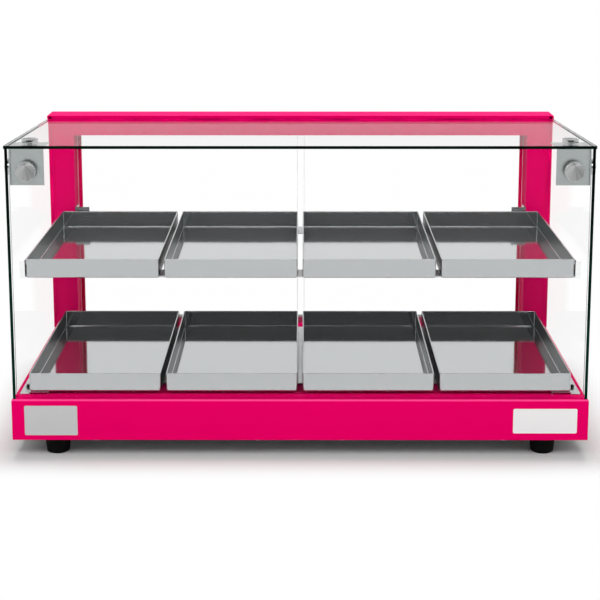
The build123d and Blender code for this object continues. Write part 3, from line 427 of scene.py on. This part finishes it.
def settle(piece, body, slot, material, *nodes):
    """Give a piece its finish, stand it in for CAD nodes and let it ride on a body. The slot is not used."""
    piece.data.materials.clear()
    piece.data.materials.append(material)
    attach(piece, body)
    if nodes:
        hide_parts(*nodes)


def arc(start, end, radius, centre, count=6):
    """Points of an arc as rows (across, along): centre + radius * (cos a, sin a), a in degrees."""
    a = np.radians(np.linspace(start, end, count))
    return np.stack([centre[0] + radius * np.cos(a), centre[1] + radius * np.sin(a)], 1)


def turned(name, profile, place, direction, sides=64, ribs=0, rib_depth=0.0):
    """A turned shape: profile rows (radius, height) carried round an axis in even steps of angle. With
    ribs, the radius of the outer rows dips by half the rib depth times one plus the cosine of ribs times
    the angle."""
    profile = np.array(profile, float)
    angle = np.linspace(0, 2 * math.pi, sides, endpoint=False)
    radius = np.repeat(profile[:, :1], sides, 1)
    if ribs:
        ribbed_from = 0.85
        outer = (profile[:, 0] > profile[:, 0].max() * ribbed_from)[:, None]
        radius = radius - outer * rib_depth * (1 + np.cos(ribs * angle))[None, :] / 2
    height = np.repeat(profile[:, 1:2], sides, 1)
    along = np.array(direction, float)
    along = along / np.linalg.norm(along)
    side = np.cross(along, (0.0, 0.0, 1.0) if abs(along[2]) < 0.9 else (1.0, 0.0, 0.0))
    side = side / np.linalg.norm(side)
    other = np.cross(along, side)
    points = (
        np.array(place, float)
        + (radius * np.cos(angle))[..., None] * side
        + (radius * np.sin(angle))[..., None] * other
        + height[..., None] * along
    )
    return grid_piece(name, points)


def rounded_stack(name, rows, centre, corner_steps=6):
    """A shape stacked from rounded rectangles, one per row (half width, half depth, corner radius, height):
    each corner is a quarter circle about a point one radius in from both sides."""
    rows = np.array(rows, float)
    quarter = np.linspace(0, math.pi / 2, corner_steps)
    angle = np.concatenate([quarter + k * math.pi / 2 for k in range(4)])
    sign_x = np.repeat([1, -1, -1, 1], corner_steps)
    sign_y = np.repeat([1, 1, -1, -1], corner_steps)
    wide, deep, radius, height = [rows[:, k:k + 1] for k in range(4)]
    x = sign_x * (wide - radius) + radius * np.cos(angle)
    y = sign_y * (deep - radius) + radius * np.sin(angle)
    z = np.repeat(height, len(angle), 1)
    points = np.stack([x, y, z], -1) + np.array(centre, float)
    return grid_piece(name, points)


class CASE_OT_camera(bpy.types.Operator):
    """Place the camera where the photograph was taken from"""
    bl_idname = "case.camera"
    bl_label = "Camera"

    def execute(self, context):
        # The focal length is in pixels of the photograph's width, the turns are in degrees.
        focal, away, height = 1504.73, 1941.73 * MM, 741.26 * MM
        pitch, across, yaw, shift = 10.418, 3.111 * MM, 0.093, -0.2
        data = bpy.data.cameras.new("camera")
        data.sensor_width = 36
        data.lens = focal / PHOTO_WIDTH * data.sensor_width
        data.shift_y = shift
        data.clip_start, data.clip_end = 0.05, 60
        camera = bpy.data.objects.new("camera", data)
        camera.location = (across, FRONT - away, height)
        camera.rotation_euler = (math.radians(90 - pitch), 0, math.radians(yaw))
        context.scene.collection.objects.link(camera)
        context.scene.camera = camera
        return {"FINISHED"}


class CASE_OT_trays(bpy.types.Operator):
    """Make the eight folded trays, with rounded bends and hemmed rims"""
    bl_idname = "case.trays"
    bl_label = "Trays"

    def execute(self, context):
        sizes, colours = context.scene.case_sizes, context.scene.case_colours
        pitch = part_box(TRAYS[1])[0].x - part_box(TRAYS[0])[0].x
        steel = tray_sheet(colours, pitch)
        wall, rim, bend = sizes.tray_wall, sizes.tray_rim, sizes.tray_bend
        hem, hem_step, ease, least_corner = 2.2 * MM, 0.3 * MM, 0.4 * MM, 0.1 * MM
        inner = max(bend - wall, 0.5 * MM)
        for name in TRAYS:
            low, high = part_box(name)
            half = ((high.x - low.x) / 2, (high.y - low.y) / 2)
            centre = ((high.x + low.x) / 2, (high.y + low.y) / 2, low.z)
            deep = high.z - low.z

            def ring(across, up, corner):
                return (half[0] + across, half[1] + across, corner, up)

            rows = [(0, 0, 0, 0)]
            rows += [ring(a, z, bend + a + ease) for a, z in arc(-90, 0, bend, (-bend, bend))]
            rim_arc = arc(0, 180, rim / 2, (-rim / 2, deep - rim / 2), 9)
            rows += [ring(a, z, bend + a + ease) for a, z in rim_arc]
            rows.append(ring(-rim, deep - hem, bend - rim + 2 * ease))
            rows.append(ring(-wall, deep - hem - hem_step, bend - wall + ease))
            floor_arc = arc(0, -90, inner, (-wall - inner, wall + inner))
            rows += [ring(a, z, max(bend + a, least_corner)) for a, z in floor_arc]
            rows.append((0, 0, 0, wall))
            piece = rounded_stack(name + "_pan", rows, centre)
            settle(piece, name, "stainless", steel, name)
        return {"FINISHED"}


class CASE_OT_buttons(bpy.types.Operator):
    """Make the turned buttons that hold the panes to the corner brackets"""
    bl_idname = "case.buttons"
    bl_label = "Glass buttons"

    def execute(self, context):
        sizes, colours = context.scene.case_sizes, context.scene.case_colours
        edge, soft = sizes.button_edge, 0.4 * MM
        stud, stud_point, reach = 3 * MM, 0.5 * MM, 10.5 * MM
        side, x_in, y_in, z_hole = 387.5 * MM, 360 * MM, FRONT + 38 * MM, 395.3 * MM
        slope = (0.0, math.sin(GLASS_TILT), math.cos(GLASS_TILT))
        z_top = under_top(y_in) + GLASS / math.cos(GLASS_TILT)
        front_seat = FRONT + 6 * MM
        groups = {
            "front_glass_buttons": [((way * x_in, front_seat, z_hole), FORWARD) for way in (-1, 1)],
            "top_glass_buttons": [((way * x_in, y_in, z_top), slope) for way in (-1, 1)],
            "side_glass_buttons": [((way * side, y_in, z_hole), (way, 0, 0)) for way in (-1, 1)],
        }
        large, small = (13 * MM, 8 * MM), (11 * MM, 5.7 * MM)
        heads = {"front_glass_buttons": large, "top_glass_buttons": small, "side_glass_buttons": small}
        for name, places in groups.items():
            radius, height = heads[name]
            profile = [(0, -reach), (stud - stud_point, -reach), (stud, -reach + stud_point), (stud, 0)]
            profile += [(radius - soft, 0), (radius, soft), (radius, height - edge)]
            profile += [tuple(p) for p in arc(0, 90, edge, (radius - edge, height - edge), 5)]
            profile += [(radius * 0.6, height), (0, height)]
            pieces = [turned(f"{name}_{k}", profile, *place, sides=72) for k, place in enumerate(places)]
            centre, axis = places[1]
            finish = turned_face("turned_" + name, colours.turned, centre, axis)
            settle(joined(name + "_turned", pieces), "case", "turned_steel", finish, name)
        return {"FINISHED"}


def bent_sheet(name, outer, inner, low, high):
    """Folded sheet: the outer and inner lines (x, y) of its plan, carried from the heights low to high.
    Each station is a loop of four corners, and the first and last shrink to their middle."""
    corners = [
        np.column_stack([outer, low]), np.column_stack([outer, high]),
        np.column_stack([inner, high]), np.column_stack([inner, low]),
    ]
    loops = np.stack(corners, 1)
    ends = [np.repeat(loop.mean(0, keepdims=True), 4, 0)[None] for loop in (loops[0], loops[-1])]
    return grid_piece(name, np.concatenate([ends[0], loops, ends[1]]), SHEET_SHARP_ANGLE)


class CASE_OT_brackets(bpy.types.Operator):
    """Make the two corner brackets, each a folded sheet with rounded bends, a hair behind the glass"""
    bl_idname = "case.brackets"
    bl_label = "Corner brackets"

    def execute(self, context):
        colours = context.scene.case_colours
        # Satin sheet: mid grey with a wide soft shine.
        steel = brushed_sheet("bracket_stainless_sheet", colours.bracket, 0.3, 0.05, 0.1)
        thick, bend, width = 1.5 * MM, 2.5 * MM, 46 * MM
        for side, name in ((-1, "left_corner_bracket"), (1, "right_corner_bracket")):
            low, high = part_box(name)
            x_out = (high.x if side > 0 else -low.x) - HAIR
            x_in, y_near, y_far = x_out - width + HAIR, low.y + HAIR, high.y
            turn = arc(0, -90, bend, (x_out - bend, y_near + bend), 7)
            inner_turn = arc(0, -90, bend - thick, (x_out - bend, y_near + bend), 7)
            outer = np.concatenate([[(x_out, y_far)], turn, [(x_in, y_near)]])
            inner = np.concatenate([[(x_out - thick, y_far)], inner_turn, [(x_in, y_near + thick)]])
            top = under_top(outer[:, 1]) - 2 * HAIR
            bottom = np.full(len(outer), low.z)
            mirror = np.array([side, 1])
            wall = bent_sheet(name + "_wall", outer * mirror, inner * mirror, bottom, top)
            y_ends = np.array([y_near + thick / 2, y_far])
            tops = under_top(y_ends) - 2 * HAIR
            shelf = np.column_stack([np.full(2, x_in), y_ends])
            across = np.column_stack([np.full(2, x_out - thick / 2), y_ends])
            lid = bent_sheet(name + "_lid", shelf * mirror, across * mirror, tops - thick, tops)
            settle(joined(name + "_folded", [wall, lid]), "case", "stainless", steel, name)
        return {"FINISHED"}


def pane(name, sides, ends, bottom, top, along_x=False):
    """A flat pane between two sides, carried from one end to the other along Y, or along X: bottom and top
    are its heights at the two ends."""
    lines = [np.column_stack([np.full(2, side), ends]) for side in sides]
    if along_x:
        lines = [line[:, ::-1] for line in lines]
    return bent_sheet(name, *lines, bottom, top)


class CASE_OT_panes(bpy.types.Operator):
    """Make the four glass panes, a hair apart, with green cut edges that end flush with the rear frame"""
    bl_idname = "case.panes"
    bl_label = "Glass panes"

    def execute(self, context):
        colours = context.scene.case_colours
        y_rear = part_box("left_post")[0].y + HAIR
        painted = (BACKWARD, colours.paint, colours.paint)
        green, near_black = linear("#0A2B22"), linear("#050807")
        side_glass = clear_pane("float_glass_side", 1.02, [(FORWARD, green, near_black), painted])
        green, pale = linear("#2B4A43"), linear("#C4CFCD")
        front_glass = clear_pane("float_glass_front", 1.1, [(LEFT, green, pale), (RIGHT, green, pale)])
        green, pale = linear("#04120E"), linear("#B4BEBB")
        top_cuts = [(FORWARD, green, green), (LEFT, pale, pale), (RIGHT, pale, pale), painted]
        top_glass = clear_pane("float_glass_top", 1.03, top_cuts)

        for name in ("left_side_glass", "right_side_glass"):
            low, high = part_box(name)
            ends = np.array([low.y, y_rear])
            tall = under_top(ends) - HAIR
            piece = pane(name + "_pane", (low.x, high.x), ends, np.full(2, low.z), tall)
            settle(piece, "case", "clear_glass", side_glass, name)

        low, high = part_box("front_glass")
        ends, tall = np.array([low.x, high.x]), np.full(2, under_top(high.y) - HAIR)
        piece = pane("front_glass_pane", (low.y, high.y), ends, np.full(2, low.z), tall, along_x=True)
        settle(piece, "case", "clear_glass", front_glass, "front_glass")

        low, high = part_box("top_glass")
        ends = np.array([GLASS_FRONT, y_rear])
        piece = pane("top_glass_pane", (low.x, high.x), ends, under_top(ends), under_top(ends) + GLASS)
        settle(piece, "case", "clear_glass", top_glass, "top_glass")
        return {"FINISHED"}


class CASE_OT_feet(bpy.types.Operator):
    """Make the four rubber feet with their screw recesses"""
    bl_idname = "case.feet"
    bl_label = "Rubber feet"

    def execute(self, context):
        sizes, colours = context.scene.case_sizes, context.scene.case_colours
        low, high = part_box("rubber_feet")
        top, bottom, tall = 18.35 * MM, 15.5 * MM, high.z - low.z
        soft, lean, ease = sizes.foot_round, 0.15 * MM, 0.6 * MM
        hole, recess, bore = 6.5 * MM, 16 * MM, 3.1 * MM
        profile = [(bore, tall), (top, tall)]
        profile += [tuple(p) for p in arc(-6, -90, soft, (bottom - soft + lean, soft), 8)]
        profile += [(hole + ease, 0), (hole, ease), (hole, recess), (bore, recess), (bore, tall)]
        # Moulded rubber: black and matt, with a fine grain.
        rubber = plain_finish(
            "moulded_rubber", colours.rubber, 0.0, 0.55, 0.8, 0.03, Specular_IOR_Level=0.06,
        )
        places = [(x, y, 0) for x in (low.x + top, high.x - top) for y in (low.y + top, high.y - top)]
        pieces = [turned(f"foot_{k}", profile, place, UP, sides=72) for k, place in enumerate(places)]
        settle(joined("rubber_feet_moulded", pieces), "case", "rubber", rubber, "rubber_feet")
        return {"FINISHED"}


class CASE_OT_screws(bpy.types.Operator):
    """Make the black deck rail screws, with domed heads and their sockets"""
    bl_idname = "case.screws"
    bl_label = "Deck rail screws"

    def execute(self, context):
        black = plain_finish("black_oxide_steel", linear("#1C1C1E"), 0.8, 0.35, 0.6, 0.01)
        low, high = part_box("deck_rail_screws")
        radius, height, shank = 2.9 * MM, 4 * MM, 1.5 * MM
        deep = high.z - low.z - height
        profile = [(0, -deep), (shank, -deep), (shank, 0), (radius, 0), (radius, height * 0.55)]
        profile += [(radius * 0.86, height * 0.85), (radius * 0.6, height), (radius * 0.45, height)]
        profile += [(radius * 0.42, height * 0.5), (0, height * 0.45)]
        across, along = (low.x + radius, high.x - radius), (low.y + radius, high.y - radius)
        places = [(x, y, low.z + deep) for x in across for y in along]
        pieces = [turned(f"rail_screw_{k}", profile, place, UP, sides=36) for k, place in enumerate(places)]
        whole = joined("deck_rail_screws_domed", pieces)
        settle(whole, "case", "black_oxide", black, "deck_rail_screws")
        return {"FINISHED"}


class CASE_OT_plates(bpy.types.Operator):
    """Make the two blank plates on the face of the base, with softened edges"""
    bl_idname = "case.plates"
    bl_label = "Blank plates"

    def execute(self, context):
        sizes, colours = context.scene.case_sizes, context.scene.case_colours
        # Printing film: flat and satin, with a grain too fine to see.
        kinds = (
            ("left_plate", "satin_grey_film", colours.left_plate, "plate_grey"),
            ("right_plate", "satin_white_film", colours.right_plate, "plate_white"),
        )
        for name, film, tone, slot in kinds:
            finish = plain_finish(film, tone, 0.0, 0.35, 1.2, 0.01, tone=0.02)
            low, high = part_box(name)
            wide, tall = (high.x - low.x) / 2, (high.z - low.z) / 2
            thick, corner, soft = high.y - low.y, sizes.plate_corner, 0.15 * MM
            drawn_in = ((0, 0), (0, thick - soft), (soft / 2, thick - soft / 4), (soft, thick))
            rows = [(wide - a, tall - a, corner - a, up) for a, up in drawn_in]
            rows = [(0, 0, 0, 0)] + rows + [(0, 0, 0, thick)]
            piece = rounded_stack(name + "_film", rows, (0, 0, 0))
            flat_x, flat_y, up = spots_of(piece).T
            middle_x, middle_z = (low.x + high.x) / 2, (low.z + high.z) / 2
            turned_up = np.stack([flat_x + middle_x, high.y - up, flat_y + middle_z], 1)
            piece.data.vertices.foreach_set("co", turned_up.ravel())
            piece.data.update()
            settle(piece, "case", slot, finish, name)
        return {"FINISHED"}


class CASE_OT_controls(bpy.types.Operator):
    """Make the ribbed knob and the pilot lamp on the rear wall"""
    bl_idname = "case.controls"
    bl_label = "Rear controls"

    def execute(self, context):
        sizes, colours = context.scene.case_sizes, context.scene.case_colours
        low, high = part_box("thermostat_knob")
        centre = ((low.x + high.x) / 2, low.y, (low.z + high.z) / 2)
        radius, skirt, tall = 20 * MM, 16 * MM, high.y - low.y
        flare, taper, crown, crown_radius = 0.3 * MM, 1.2 * MM, 1.6 * MM, radius - 3 * MM
        dish_edge, dish, sunk = 12 * MM, 11 * MM, 0.5 * MM
        profile = [(0, 0), (skirt, 0), (radius - flare, 2 * flare), (radius - taper, tall - 2 * MM)]
        profile += [tuple(p) for p in arc(0, 90, crown, (crown_radius, tall - crown), 6)]
        profile += [(dish_edge, tall), (dish, tall - sunk), (0, tall - sunk)]
        # Moulded knob: near black with a mild gloss on its ribs.
        plastic = plain_finish("moulded_knob_plastic", colours.knob, 0.0, 0.35, 0.7, 0.02)
        knob = turned(
            "thermostat_knob_ribbed", profile, centre, BACKWARD, sides=240, ribs=24,
            rib_depth=sizes.knob_rib,
        )
        settle(knob, "knob", "knob_plastic", plastic, "thermostat_knob")

        low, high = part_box("pilot_lamp")
        centre = ((low.x + high.x) / 2, BACK, (low.z + high.z) / 2)
        inside, barrel, flange, flange_height = low.y - BACK, 6 * MM, 7.5 * MM, 1.8 * MM
        seat_radius, seat, dome = 6.8 * MM, 2.5 * MM, np.array([5.5, 3.3]) * MM
        profile = [(0, inside), (barrel, inside), (barrel, 0), (flange, 0), (flange, flange_height)]
        profile += [(seat_radius, seat), (5.6 * MM, seat)]
        profile += [tuple(p) for p in arc(0, 90, 1, (0, 0), 8) * dome + (0, 2.6 * MM)]
        # Amber lens: smooth orange with a clear glossy skin.
        lens = plain_finish(
            "amber_lens", colours.lens, 0.0, 0.12, 1.5, 0.02, Coat_Weight=0.6, Coat_Roughness=0.04,
        )
        lamp = turned("pilot_lamp_lens", profile, centre, BACKWARD, sides=64)
        settle(lamp, "case", "amber_lens", lens, "pilot_lamp")
        return {"FINISHED"}


class CASE_OT_finishes(bpy.types.Operator):
    """Give every CAD node that stays its finish"""
    bl_idname = "case.finishes"
    bl_label = "Finishes"

    def execute(self, context):
        colours = context.scene.case_colours
        oxide = linear("#1C1C1E")
        door_edge = linear("#E6E7E7")
        door_cuts = [(way, door_edge, door_edge) for way in (LEFT, RIGHT)]
        finishes = {
            # Baked paint: flat, even pink with a faint grain, and a painted highlight of lighter pink on the
            # rounded front edges.
            gloss_paint(colours): (
                "base_shell", "left_post", "right_post", "post_covers", "header", "frame_cap",
            ),
            # Satin sheet: grey with blurred streaks along its length.
            brushed_sheet("satin_stainless_sheet", colours.steel, 0.26, 0.05, 0.12): (
                "bottom_plate", "shelf_front_rail", "shelf_rear_rail", "shelf_hooks", "left_deck_rail",
                "right_deck_rail", "middle_deck_rails", "element_brackets",
            ),
            # Polished sheet: nearly white, with clear reflections.
            brushed_sheet("polished_stainless_sheet", colours.polished, 0.12, 0.03, 0.05): (
                "left_shelf_arm", "right_shelf_arm",
            ),
            # Zinc plating: cool grey with a soft shine.
            plain_finish("zinc_plated_steel", linear("#B4B7BC"), 1.0, 0.32, 0.8, 0.01): (
                "bottom_plate_screws", "foot_screws", "foot_nuts", "post_screws", "button_nuts",
                "thermostat_shaft",
            ),
            # Black oxide: near black with a dull metal gleam.
            plain_finish("black_oxide_screws", oxide, 0.8, 0.35, 0.6, 0.01): ("shelf_screws",),
            # Acrylic: clear, with pale grey cut edges.
            clear_pane("clear_acrylic", 1.1, door_cuts): ("left_door", "right_door"),
            # Anodised extrusion: pale, even grey with a broad soft highlight.
            plain_finish("satin_anodised_aluminium", linear("#C6C9CB"), 1.0, 0.38, 0.5, 0.01): (
                "lower_door_track", "upper_door_track",
            ),
            # Rolled aluminium: bright, with loose reflections.
            plain_finish("bright_rolled_aluminium", linear("#D2D3D4"), 1.0, 0.2, 2.0, 0.02): ("reflector",),
            # Element sheath: brown-grey, clouded by heat.
            plain_finish("heat_stained_sheath", linear("#6B6152"), 1.0, 0.4, 4.0, 0.02, tone=0.25): (
                "heating_element",
            ),
            # Glazed ceramic: cream with a mild gloss.
            plain_finish("cream_ceramic", linear("#E4DCC8"), 0.0, 0.4, 0.8, 0.03): (
                "element_terminals", "terminal_block",
            ),
            # Moulded nylon: soft black, half matt.
            plain_finish("black_nylon", linear("#17181A"), 0.0, 0.45, 0.6, 0.02): (
                "thermostat_body", "cable_gland", "gland_nut",
            ),
            # Woven sleeve: off-white, matt and slightly rough.
            plain_finish("glass_fibre_sleeve", linear("#CFCABC"), 0.0, 0.75, 0.8, 0.1): ("wiring",),
        }
        for material, names in finishes.items():
            for name in names:
                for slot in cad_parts[name].material_slots:
                    slot.material = material
        return {"FINISHED"}


def paper_floor(scene):
    """White paper, matt to the object. The camera, mirrors and glass see it with the object's shadow on it
    close to the base, and as plain white further out: the change is a smooth step over the fade length."""
    half, fade_length = 6.0, 90 * MM
    corners = np.array([[-half, -half, 0], [half, -half, 0], [half, half, 0], [-half, half, 0]])
    mesh = bpy.data.meshes.new("floor")
    mesh.from_pydata(corners.tolist(), [], [[0, 1, 2, 3]])
    floor = bpy.data.objects.new("floor", mesh)
    scene.collection.objects.link(floor)
    material, tree, output = blank_material("white_paper_floor")
    place = add(tree, "ShaderNodeTexCoord").outputs["Object"]
    size = add(tree, "ShaderNodeVectorMath", {"operation": "ABSOLUTE"}, i0=place)
    half_base = (HALF_BASE_WIDTH, HALF_BASE_DEPTH, 1.0)
    past = add(tree, "ShaderNodeVectorMath", {"operation": "SUBTRACT"}, i0=size.outputs[0], i1=half_base)
    outside = add(
        tree, "ShaderNodeVectorMath", {"operation": "MAXIMUM"}, i0=past.outputs[0], i1=(0, 0, 0),
    )
    away = add(tree, "ShaderNodeVectorMath", {"operation": "LENGTH"}, i0=outside.outputs[0])
    fade = add(
        tree, "ShaderNodeMapRange", {"interpolation_type": "SMOOTHSTEP"}, Value=away.outputs["Value"],
        From_Min=0.0, From_Max=fade_length,
    )
    ray = add(tree, "ShaderNodeLightPath").outputs
    direct = add(
        tree, "ShaderNodeMath", {"operation": "MAXIMUM"},
        i0=ray["Is Camera Ray"], i1=ray["Is Transmission Ray"],
    )
    seen = add(
        tree, "ShaderNodeMath", {"operation": "MAXIMUM"}, i0=direct.outputs[0], i1=ray["Is Glossy Ray"],
    )
    grain = 3 * MM
    fibres = add(tree, "ShaderNodeTexNoise", Vector=place, Scale=1 / grain, Detail=2.0)
    paper_tone = add(
        tree, "ShaderNodeMix", {"data_type": "RGBA"}, i0=fibres.outputs["Fac"],
        i6=rgba((0.68, 0.68, 0.68)), i7=rgba((0.72, 0.72, 0.72)),
    )
    paper = add(tree, "ShaderNodeBsdfDiffuse", Color=paper_tone.outputs[2])
    bright = add(tree, "ShaderNodeEmission", Color=rgba((1, 1, 1)), Strength=1.0)
    near = add(tree, "ShaderNodeMixShader", i0=fade.outputs[0], i1=paper.outputs[0], i2=bright.outputs[0])
    both = add(tree, "ShaderNodeMixShader", i0=seen.outputs[0], i1=paper.outputs[0], i2=near.outputs[0])
    tree.links.new(both.outputs[0], output.inputs["Surface"])
    floor.data.materials.append(material)


def smooth_band(tree, value, start, end, low, high):
    """A smooth step: low before the start, high after the end."""
    return add(
        tree, "ShaderNodeMapRange", {"interpolation_type": "SMOOTHSTEP"}, Value=value,
        From_Min=start, From_Max=end, To_Min=low, To_Max=high,
    ).outputs["Result"]


def studio_world(scene):
    """White surroundings for the camera. Metal mirrors a dark front, a white rear and a dimmer ceiling and
    horizon; glass lets the same through, with a white horizon. Matt surfaces get an even dim fill."""
    world = bpy.data.worlds.new("studio")
    scene.world = world
    world.use_nodes = True
    tree = world.node_tree
    tree.nodes.clear()
    output = tree.nodes.new("ShaderNodeOutputWorld")
    ray = add(tree, "ShaderNodeLightPath").outputs
    way = add(tree, "ShaderNodeTexCoord").outputs["Generated"]
    parts = add(tree, "ShaderNodeSeparateXYZ", Vector=way).outputs
    to_rear = smooth_band(tree, parts["Y"], -0.1, 0.3, 0.08, 1.0)
    raised = smooth_band(tree, parts["Z"], 0.15, 0.2, 0.42, 1.0)
    steep = smooth_band(tree, parts["Z"], 0.5, 0.9, 1.0, 0.55)
    horizon = smooth_band(tree, parts["Z"], 0.1, 0.18, 1.0, 0.0)
    wall = add(tree, "ShaderNodeMath", {"operation": "MULTIPLY"}, i0=to_rear, i1=raised)
    panel = add(tree, "ShaderNodeMath", {"operation": "MULTIPLY"}, i0=wall.outputs[0], i1=steep)
    through = add(tree, "ShaderNodeMath", {"operation": "MAXIMUM"}, i0=to_rear, i1=horizon)
    mirrored = add(tree, "ShaderNodeMix", i0=ray["Is Glossy Ray"], i2=0.3, i3=panel.outputs[0])
    glass = add(
        tree, "ShaderNodeMix", i0=ray["Is Transmission Ray"], i2=mirrored.outputs[0], i3=through.outputs[0],
    )
    level = add(tree, "ShaderNodeMix", i0=ray["Is Camera Ray"], i2=glass.outputs[0], i3=1.0)
    sky = add(tree, "ShaderNodeBackground", Color=rgba((1, 1, 1)), Strength=level.outputs[0])
    tree.links.new(sky.outputs[0], output.inputs["Surface"])


def soft_lamps(scene):
    """Four soft boxes, each aimed at a point of the case. The one above isn't mirrored in the trays."""
    lamps = (
        ("top_softbox", (0.0, 0.35, 1.8), (0, 0, 0.1), 1.6, 0.9, 30),
        ("front_softbox", (0.0, -1.6, 1.5), (0, 0, 0.2), 2.4, 0.8, 20),
        ("left_softbox", (-1.6, -1.2, 1.3), (0, 0, 0.25), 1.0, 1.2, 8),
        ("right_softbox", (1.6, -1.2, 1.3), (0, 0, 0.25), 1.0, 1.2, 7),
    )
    for name, place, aim, wide, tall, power in lamps:
        data = bpy.data.lights.new(name, "AREA")
        data.shape, data.size, data.size_y, data.energy = "RECTANGLE", wide, tall, power
        lamp = bpy.data.objects.new(name, data)
        lamp.visible_glossy = lamp.visible_transmission = name != "top_softbox"
        away = np.array(place) - np.array(aim)
        lean, turn = math.atan2(math.hypot(away[0], away[1]), away[2]), math.atan2(away[0], -away[1])
        lamp.location = place
        lamp.rotation_euler = (lean, 0, turn)
        scene.collection.objects.link(lamp)


class CASE_OT_stage(bpy.types.Operator):
    """Make the white floor, the surroundings and the soft lamps"""
    bl_idname = "case.stage"
    bl_label = "Stage"

    def execute(self, context):
        paper_floor(context.scene)
        studio_world(context.scene)
        soft_lamps(context.scene)
        context.scene.view_settings.view_transform = "Standard"
        return {"FINISHED"}


class CASE_PT_panel(bpy.types.Panel):
    """Lists the pieces of the display case and their settings"""
    bl_idname = "CASE_PT_panel"
    bl_label = "Display case"
    bl_space_type = "VIEW_3D"
    bl_region_type = "UI"
    bl_category = "Display case"

    def draw(self, context):
        for operator in OPERATORS:
            self.layout.operator(operator.bl_idname)
        for group in (context.scene.case_sizes, context.scene.case_colours):
            for name in group.__annotations__:
                self.layout.prop(group, name)


OPERATORS = (
    CASE_OT_camera, CASE_OT_finishes, CASE_OT_panes, CASE_OT_trays, CASE_OT_buttons, CASE_OT_brackets,
    CASE_OT_feet, CASE_OT_screws, CASE_OT_plates, CASE_OT_controls, CASE_OT_stage,
)
CLASSES = (CaseColours, CaseSizes) + OPERATORS + (CASE_PT_panel,)


def register():
    for item in CLASSES:
        bpy.utils.register_class(item)
    bpy.types.Scene.case_colours = bpy.props.PointerProperty(type=CaseColours)
    bpy.types.Scene.case_sizes = bpy.props.PointerProperty(type=CaseSizes)


def unregister():
    del bpy.types.Scene.case_sizes
    del bpy.types.Scene.case_colours
    for item in reversed(CLASSES):
        bpy.utils.unregister_class(item)


def main():
    register()
    for operator in OPERATORS:
        group, name = operator.bl_idname.split(".")
        getattr(getattr(bpy.ops, group), name)()


if __name__ == "__main__":
    main()
